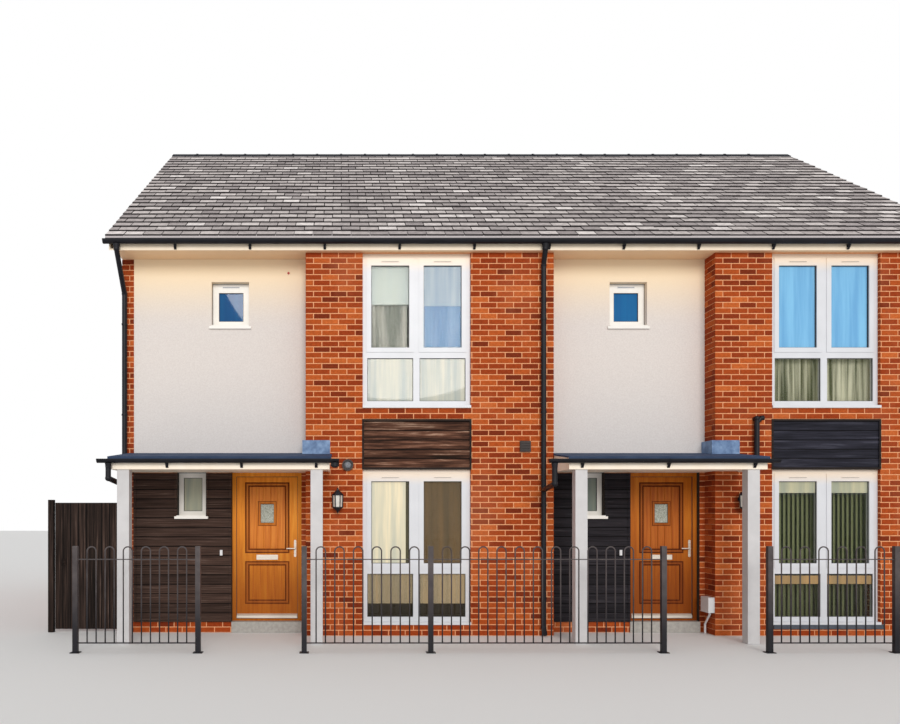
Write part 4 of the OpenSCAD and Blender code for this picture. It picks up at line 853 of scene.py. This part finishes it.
# Mouldings and planks in both panels of each door, on both faces, and the bead of the glass; the grooves
# beside the beads take a dark tone, painted shadow
def addDoorDetail():
    groove, bead, reveal = door["groove"], door["bead"], door["bead"] + door["groove"]
    beadX, beadZ, beadWidth = door["glassBead"]
    glassX, glassZ, glassWidth = door["glassGroove"]
    edgeMore, edgeWidth = door["beadEdge"]
    for i in houses:
        body = "front_door_%d" % (i + 1)
        low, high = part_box(body)
        peepLow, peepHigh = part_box("door_glass_%d" % (i + 1))
        x0, x1 = low.x + door["stile"], high.x - door["stile"]
        lowTop = low.z + door["footRail"] + door["lowPanel"]
        fields = ((low.z + door["footRail"], lowTop), (lowTop + door["middleRail"], high.z - door["headRail"]))
        middle = (low.x + high.x) / 2
        beadBounds = (middle - beadX, middle + beadX, peepLow.z - beadZ, peepHigh.z + beadZ)
        glassBounds = (middle - glassX, middle + glassX, peepLow.z - glassZ, peepHigh.z + glassZ)
        grooves, beads, planks = [], [], []
        for y, side in ((low.y, -1), (high.y, 1)):
            def addLayer(pieces, bounds, reach, width, bevel=0):
                a, b, c, d = bounds
                deep, proud = sorted((y - side * reach[0], y + side * reach[1]))
                pieces.append(addRing("layer", (a, deep, c), (b, proud, d), width, bevel))

            def addPlank(a, b, c, d):
                deep, proud = sorted(y - side * depth for depth in door["plankY"])
                planks.append(addBlock("plank", (a + door["plankGap"], deep, c), (b - door["plankGap"], proud,
                    d)))
                roundEdges(planks[-1], door["plankRound"])

            for z0, z1 in fields:
                field = (x0, x1, z0, z1)
                addLayer(grooves, grown(field, groove), door["outerGrooveY"], groove)
                addLayer(beads, field, door["beadY"], bead, door["beadRound"])
                addLayer(grooves, grown(field, -bead), door["innerGrooveY"], groove)
                left, right, foot, head = grown(field, -reveal)
                width = (right - left) / door["planks"]
                for k in range(door["planks"]):
                    a, b = left + k * width, left + (k + 1) * width
                    if z1 < peepHigh.z or not 0 < k < door["planks"] - 1:
                        addPlank(a, b, foot, head)
                        continue
                    addPlank(a, b, foot, beadBounds[2])
                    addPlank(a, b, beadBounds[3], head)
                    for c, d in ((a, beadBounds[0]), (beadBounds[1], b)):
                        if d - c > door["plankLeast"]:
                            addPlank(c, min(d, b), *beadBounds[2:])
            addLayer(beads, beadBounds, door["glassBeadY"], beadWidth, door["beadRound"])
            addLayer(grooves, glassBounds, door["glassGrooveY"], glassWidth)
            addLayer(grooves, grown(beadBounds, edgeMore), door["beadEdgeY"], edgeWidth)
        for kind, pieces, skin in (("grooves", grooves, oakGrooveShade), ("beads", beads, oakBead),
                ("planks", planks, oakPanel)):
            finishJoined("door_%s_%d" % (kind, i + 1), pieces, skin[i], "oak_finish", body)
        # A dark seal ring round each leaf, drawn wide to stand also for the shadow gap at the stop: partly
        # painted shade
        edge, (deep, proud) = doorSeal["side"], doorSeal["y"]
        ring = addRing("door_seal_%d" % (i + 1), (low.x + edge, low.y - deep, low.z - doorSeal["foot"]),
            (high.x - edge, low.y - proud, high.z - edge), doorSeal["width"])
        finishPiece(ring, rubber, "black_plastic")


greySill = {"low": (3.150, -4.536, 0.093), "high": (4.640, -4.5005, 0.1495), "fall": (0, 0.010, 0.004),
    "round": 0.004}


# A dark grey band on the sill under the second bay's lower window
def addGreySill():
    sill = addBlock("grey_sill", greySill["low"], greySill["high"])
    selectFacing(sill, "z", 1)
    bpy.ops.mesh.extrude_region_move(TRANSFORM_OT_translate={"value": greySill["fall"]})
    setMode("OBJECT")
    roundEdges(sill, greySill["round"])
    finishPiece(sill, sillGrey, "concrete")


louvre = {"x": (-0.1955, 5.3295), "half": 0.064, "y": (-4.5415, -4.5345), "z": (2.490, 2.506), "drop": 0.006,
    "count": 6, "step": 0.0215}
flue = {"place": (-2.588, -4.5275, 2.303), "radii": (0.048, 0.034), "deep": 0.014, "ring": 0.009,
    "wave": 0.004}
overflow = {"x": -3.407, "z": 4.985, "radii": (0.017, 0.014), "deep": 0.016}


# Louvres over the square vents, the guard in the flue and the cap of the overflow
def addVentDetail():
    facingStreet = (math.radians(90), 0, 0)
    louvres = []
    for x in louvre["x"]:
        (y0, y1), (z0, z1) = louvre["y"], louvre["z"]
        blade = addBlock("louvre", (x - louvre["half"], y0, z0), (x + louvre["half"], y1, z1))
        pushFaces(blade, "y", -1, (0, 0, -louvre["drop"]))
        repeat(blade, louvre["count"], (0, 0, louvre["step"]))
        louvres.append(blade)
    finishJoined("vent_louvres", louvres, brownPlastic, "brown_plastic")
    guard = addCone("flue_guard", (0, 0, 0), *flue["radii"], flue["deep"], sides=32)
    placeAt(guard, flue["place"], facingStreet)
    selectFacing(guard, "y", -1)
    for side in (-1, 1, -1):
        bpy.ops.mesh.inset(thickness=flue["ring"])
        bpy.ops.transform.translate(value=(0, side * flue["wave"], 0))
    setMode("OBJECT")
    finishPiece(guard, flueGrey, "brown_plastic")
    cap = addCone("overflow_cap", (0, 0, 0), *overflow["radii"], overflow["deep"], sides=24)
    placeAt(cap, (overflow["x"], wall["recess"], overflow["z"]), facingStreet)
    roundEdges(cap)
    finishPiece(cap, redPlastic, "brown_plastic")


arms = {"half": 0.017, "tall": (0.058, 0.002), "share": 0.8, "eaves": (0.105, 4.593, 5.2423, 0.064),
    "canopies": ((-2.991, 0.940), (2.534, 1.087)), "canopyBoard": (-5.258, 2.2852, -0.060)}


# Arms under the gutter brackets: each has its place in X, its board, its underside and its reach
def addGutterArms():
    start, board, bottom, reach = arms["eaves"]
    places = [(start + k, side * board, bottom, side * reach) for side in (-1, 1) for k in range(-5, 6)]
    places += [(x - k * gap, *arms["canopyBoard"]) for x, gap in arms["canopies"] for k in range(3)]
    pieces = []
    for x, board, bottom, reach in places:
        near, far = sorted((board, board + reach / 6))
        foot, head = (bottom - drop for drop in arms["tall"])
        arm = addBlock("arm", (x - arms["half"], near, foot), (x + arms["half"], far, head))
        pushFaces(arm, "z", 1, (0, reach * arms["share"], 0))
        roundEdges(arm)
        pieces.append(arm)
    finishJoined("gutter_bracket_arms", pieces, blackPlastic, "black_plastic")


bend = {"place": (2.906, -4.559, 2.925), "low": ((0, -0.055), (0.052, 0.006), 0.062),
    "high": ((0.046, 0.003), (0.090, 0.012), 0.066)}


# The bend beside the top of the waste pipe
def addWasteBend():
    x, y, top = bend["place"]
    pieces = []
    for (a, b), (c, d), diameter in (bend["low"], bend["high"]):
        pieces.append(addBar("bend", (x + a, y, top + b), (x + c, y, top + d), diameter, 20))
    finishJoined("waste_pipe_bend", pieces, blackPlastic, "black_plastic")


trim = {"width": 0.026, "side": 0.001, "y": (-0.004, 0.012)}


# Dark trim round the boarded panels
def addPanelTrim():
    trims = []
    for i in houses:
        low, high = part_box("bay_panel_%d" % (i + 1))
        trims.append(addRing("trim", (low.x - trim["side"], low.y + trim["y"][0], low.z),
            (high.x + trim["side"], low.y + trim["y"][1], high.z), trim["width"], smallRound))
    finishJoined("panel_trims", trims, panelTrim, "dark_timber")


print("stage: camera and light")
addCamera()
addLight()

print("stage: materials and CAD finishes")
brickSkin = tonedByFace("brick_skin", "brickTone", ((112, 42, 19), (143, 55, 21), (158, 66, 26), (173, 79, 32),
    (192, 98, 46)), (0.0, 0.15, 0.5, 0.85, 1.0), 0.92, (30, 30, 50), 0.2, 0.45, 0.0015, (190, 118, 84))
# The slates' first tone, near black, is painted shade on their edges
slateSkin = tonedByFace("slate_skin", "slateTone", ((20, 18, 19), (149, 141, 141), (171, 163, 162),
    (191, 183, 181), (208, 200, 198), (234, 227, 225)), (0.0, 0.08, 0.45, 0.75, 0.93, 1.0), 0.7, 14, 0.26, 0.3,
    0.002, (218, 210, 206), lapped=True)
# The roof core shows in the gaps between slates: its near-black tone is painted shade; the pale band at its
# eave edge is in slate tone
dress(mottled("slate_gap_shade", ((22, 20, 21), (34, 32, 33)), 0.85, 20, shine=0.1, warm=((5.322, 5.326,
    (196, 189, 190)),)), "roof_front", "roof_rear")
dress(mortarWithReveals("mortar", ((140, 60, 30), (178, 88, 48))), "gable_wall", "rear_wall", "bay_wall_1",
    "bay_wall_2")
# The hall walls' dark reveals are painted shade
dress(mortarWithReveals("shaded_reveal_mortar", ((50, 44, 40), (72, 64, 58)), coursed=False), "hall_wall_1",
    "hall_wall_2")
sillGrey = mottled("grey_sill_tone", ((60, 66, 76), (82, 88, 98)), 0.8, 14, 0.2)
dress(mottled("blockwork", ((150, 146, 140), (172, 168, 161)), 0.95, 25, 0.3, at=(0.35, 0.65)), "party_wall",
    "end_party_wall")
# The warm band under the soffit is painted light, soffit light thrown onto the render
dress(mottled("cream_render", ((215, 207, 202), (226, 219, 214)), 0.93, 60, 0.25, 0.0015, detail=8.0,
    shine=0.2, warm=((4.2, 5.17, (249, 227, 192)),), fade=(2.5, 3.9, (0.93, 0.955, 0.985))), "render_wall_1",
    "render_wall_2")
dress(mottled("concrete", ((150, 147, 142), (176, 172, 166)), 0.9, 20, 0.2), "ground_floor_slab")
dress(mottled("floor_timber", ((176, 140, 100), (198, 164, 124)), 0.7, (3, 40, 40), 0.2), "first_floor")
# On the lapped cladding the dark line at the top of each board is painted shadow under the butt of the board
# above
dress(boardedTimber("brown_boards", ((40, 28, 23), (70, 53, 46), (108, 90, 82)), (0.3, 0.58, 0.76), 0.85,
    0.1315, 0.15, line=0.1), "timber_cladding_1")
dress(boardedTimber("black_boards", ((20, 18, 22), (44, 41, 45), (84, 80, 84)), (0.3, 0.6, 0.78), 0.85, 0.1315,
    0.15, line=0.1), "timber_cladding_2")
dress(boardedTimber("brown_panel", ((38, 24, 17), (72, 46, 35), (108, 74, 58), (184, 152, 130)),
    (0.36, 0.48, 0.58, 0.68), 0.85, 0.1248, 2.273, (1.3, 9, 24), 0.09), "bay_panel_1")
dress(boardedTimber("black_panel", ((16, 16, 23), (42, 42, 52), (70, 70, 82)), (0.3, 0.55, 0.72), 0.8, 0.1248,
    2.273, (1.3, 9, 24), 0.07, 0.12), "bay_panel_2")
panelTrim = boardedTimber("panel_trim", ((22, 18, 17), (52, 44, 40)), (0.3, 0.75), 0.8, 3.0, 0.0)
dress(boardedTimber("gate_boards", ((12, 8, 6), (40, 30, 26), (64, 50, 44), (112, 94, 86)),
    (0.34, 0.5, 0.62, 0.74), 0.85, 0.1085, -6.663, (42, 9, 1.1), 0.09, 0.3, axis="X"), "side_gate",
    "gate_posts")
# The warm bands at the window heads are painted light, soffit light thrown onto the frames
white = mottled("white_frames", ((210, 212, 217), (217, 219, 224)), 0.35, 3, warm=((2.02, 2.2,
    (238, 221, 202)), (4.9, 5.12, (240, 222, 200))))
dress(mottled("cream_frames", ((232, 229, 222), (240, 237, 231)), 0.4, 6), "small_windows_1",
    "small_windows_2")
dress(mottled("white_paint", ((196, 194, 195), (206, 204, 205)), 0.5, 6), "porch_posts_1", "porch_posts_2")
dress(mottled("canopy_paint", ((252, 236, 214), (255, 243, 226)), 0.5, 6), "canopy_1", "canopy_2")
# The tint on faces that look down is painted shade on the soffits
dress(mottled("cream_boards", ((238, 220, 194), (245, 229, 205)), 0.5, 5, under=(243, 206, 164)),
    "eaves_boards", "verge_boards")
oak, oakPanel, oakBead, oakGrooveShade = [], [], [], []
for i, stain in ((1, (1, 1, 1, 1)), (2, (0.64, 0.52, 0.40, 1))):  # the second door is stained darker
    stained = {"stain": stain, "shine": 0.15}
    oak.append(mottled("oak_door_%d" % i, ((222, 130, 32), (243, 152, 44), (253, 172, 62)), 0.45,
        (26, 26, 1.6), 0.12, at=(0.3, 0.55, 0.75), detail=8.0, fade=(0.3, 1.9, (0.44, 0.34, 0.16)), **stained))
    oakPanel.append(mottled("oak_panel_%d" % i, ((184, 96, 34), (214, 126, 46), (230, 146, 62)), 0.46,
        (40, 40, 1.2), 0.12, at=(0.3, 0.5, 0.72), detail=8.0, fade=(0.9, 1.3, (0.60, 0.46, 0.20)), **stained))
    oakBead.append(mottled("oak_bead_%d" % i, ((178, 98, 26), (208, 124, 40)), 0.45, (26, 26, 1.6),
        fade=(0.5, 1.7, (0.60, 0.50, 0.36)), **stained))
    # The grooves' dark tone is painted shadow round the mouldings
    oakGrooveShade.append(mottled("oak_groove_shade_%d" % i, ((92, 42, 10), (124, 60, 16)), 0.6, (26, 26, 1.6), stain=stain,
        shine=0.1))
    dress(oak[-1], "door_frame_%d" % i, "front_door_%d" % i)
dress(mottled("canopy_covering", ((50, 64, 90), (66, 81, 107)), 0.75, 4, 0.1, 0.002, shine=0.1),
    "canopy_roof_1", "canopy_roof_2")
dress(mottled("lead_flashing", ((66, 94, 134), (98, 128, 168), (132, 160, 196)), 0.55, 10, 0.2, 0.002,
    at=(0.3, 0.5, 0.7)), "lead_flashings")
blackPlastic = mottled("black_plastic", ((18, 18, 23), (28, 28, 34)), 0.45, 5, shine=0.22)
blackSteel = mottled("black_steel", ((12, 15, 22), (22, 26, 35)), 0.42, 8, 0.1, shine=0.3)
# The railings are grey-brown at the top and near black at the foot: painted sunlight on their tops
dress(mottled("railing_steel", ((62, 56, 57), (84, 77, 77)), 0.45, 8, 0.1, shine=0.25,
    fade=(0.15, 1.0, (0.10, 0.11, 0.17))), "railing_left", "railing_middle", "railing_right")
rubber = mottled("rubber", ((44, 44, 48), (60, 60, 64)), 0.7, 20)
brownPlastic = mottled("brown_plastic", ((34, 24, 22), (48, 36, 32)), 0.6, 12)
redPlastic = mottled("red_plastic", ((168, 30, 24), (196, 44, 36)), 0.5, 60)
flueGrey = mottled("flue_guard_grey", ((98, 102, 108), (132, 136, 142)), 0.5, 30)
whitePlastic = mottled("white_plastic", ((214, 214, 216), (224, 224, 226)), 0.45, 9)
dress(mottled("ridge_tile", ((20, 22, 28), (33, 35, 43)), 0.8, 20, 0.2, shine=0.2), "ridge_tiles")
dress(mottled("brushed_steel", ((200, 190, 176), (228, 220, 208)), 0.35, (3, 3, 60), metal=0.35),
    "door_furniture_1", "door_furniture_2", "door_hinges")
# The blue tints over the upper right pane and the small upper window are painted sky reflection
dress(tintedPanes("window_glass_1", (((-2.4, -1.66, 4.5, 5.1), (204, 216, 208), 0.3),
    ((-2.4, -1.66, 3.8, 4.5), (150, 156, 146), 0.12), ((-1.66, -0.9, 3.8, 4.468), (100, 158, 210), 0.42),
    ((-1.66, -0.9, 4.468, 5.1), (152, 174, 192), 0.7), ((-2.4, -0.9, 3.1, 3.8), (202, 205, 194), 0.8),
    ((-2.4, -1.66, 0.85, 2.2), (238, 231, 204), 0.85), ((-1.66, -0.9, 0.85, 2.2), (118, 98, 70), 0.6),
    ((-2.4, -0.9, 0.428, 0.85), (190, 172, 138), 0.45), ((-2.4, -0.9, 0.2, 0.428), (50, 46, 38), 0.6),
    ((-1.8, -1.7, 0.85, 2.2), (92, 88, 66), 0.7), ((-5.0, -3.9, 4.2, 4.9), (4, 82, 136), 0.97),
    ((-5.0, -4.5, 1.5, 2.3), (172, 174, 154), 0.97))), "front_glass_1")
# The sky-blue tint over the upper panes and the blue of the small upper window are painted sky reflection
dress(tintedPanes("window_glass_2", (((3.1, 4.6, 3.8, 5.1), (136, 204, 250), 0.7), ((3.755, 3.9, 3.8, 5.1),
    (60, 84, 108), 0.8), ((4.465, 4.6, 3.8, 5.1), (60, 84, 108), 0.8), ((3.1, 4.6, 3.1, 3.8), (120, 128, 92),
    0.12), ((3.1, 4.6, 0.85, 1.9), (66, 74, 56), 0.15), ((3.1, 4.6, 1.93, 2.2), (206, 206, 178), 0.6),
    ((3.1, 4.6, 0.2, 0.692), (70, 72, 60), 0.2), ((3.1, 4.6, 0.692, 0.806), (188, 156, 110), 0.7),
    ((0.5, 1.6, 4.2, 4.9), (4, 100, 160), 0.97), ((0.5, 1.0, 1.5, 2.3), (132, 142, 130), 0.97))),
    "front_glass_2")
dress(tintedPanes("rear_glass", (((-6.0, 6.0, 0.0, 6.0), (60, 80, 90), 0.32),)), "rear_glass")
dress(mottled("door_pane", ((140, 146, 132), (190, 194, 182)), 0.25, 90, 0.4, 0.002, at=(0.4, 0.6)),
    "door_glass_1", "door_glass_2")
lampGlass = mottled("lamp_glass", ((206, 204, 196), (228, 226, 218)), 0.2, 20)
# The stretched noise gives the cloths vertical light and dark streaks: painted light and shade of folds
netCloth = mottled("net_cloth", ((170, 184, 196), (238, 240, 234)), 0.9, (7, 7, 0.3), 0.3, at=(0.36, 0.6))
oliveCloth = mottled("olive_cloth", ((60, 64, 40), (224, 222, 196)), 0.9, (16, 16, 0.5), 0.3, at=(0.38, 0.62))
greyCloth = mottled("grey_cloth", ((126, 132, 122), (222, 218, 206)), 0.9, (4.5, 4.5, 0.3), 0.3, at=(0.4, 0.6))
pleats = mottled("pleated_blind", ((222, 230, 226), (234, 240, 236)), 0.8, 200, 0.2)
beigeVane = mottled("beige_vanes", ((170, 152, 122), (196, 178, 146)), 0.8, 160, 0.2)
oliveVane = mottled("olive_vanes", ((146, 154, 108), (172, 178, 130)), 0.8, 160, 0.2)
dress(white, "bay_windows_1", "bay_windows_2", "rear_windows")
dress(blackPlastic, "gutter_front", "gutter_rear", "canopy_gutters", "downpipe_gable", "downpipe_party",
    "downpipe_rear", "waste_pipe")
dress(blackSteel, "wall_lanterns")
dress(brownPlastic, "wall_vents")
dress(whitePlastic, "entrance_fittings")

print("stage: bricks")
addBrickwork(brickSkin)

print("stage: slates")
addSlates(slateSkin)

print("stage: windows")
addWindowParts()

print("stage: curtains and blinds")
addCurtains()

print("stage: lanterns, doors, vents and trim")
addLanterns()
addDoorDetail()
addVentDetail()
addPanelTrim()
addGutterArms()
addWasteBend()
addGreySill()
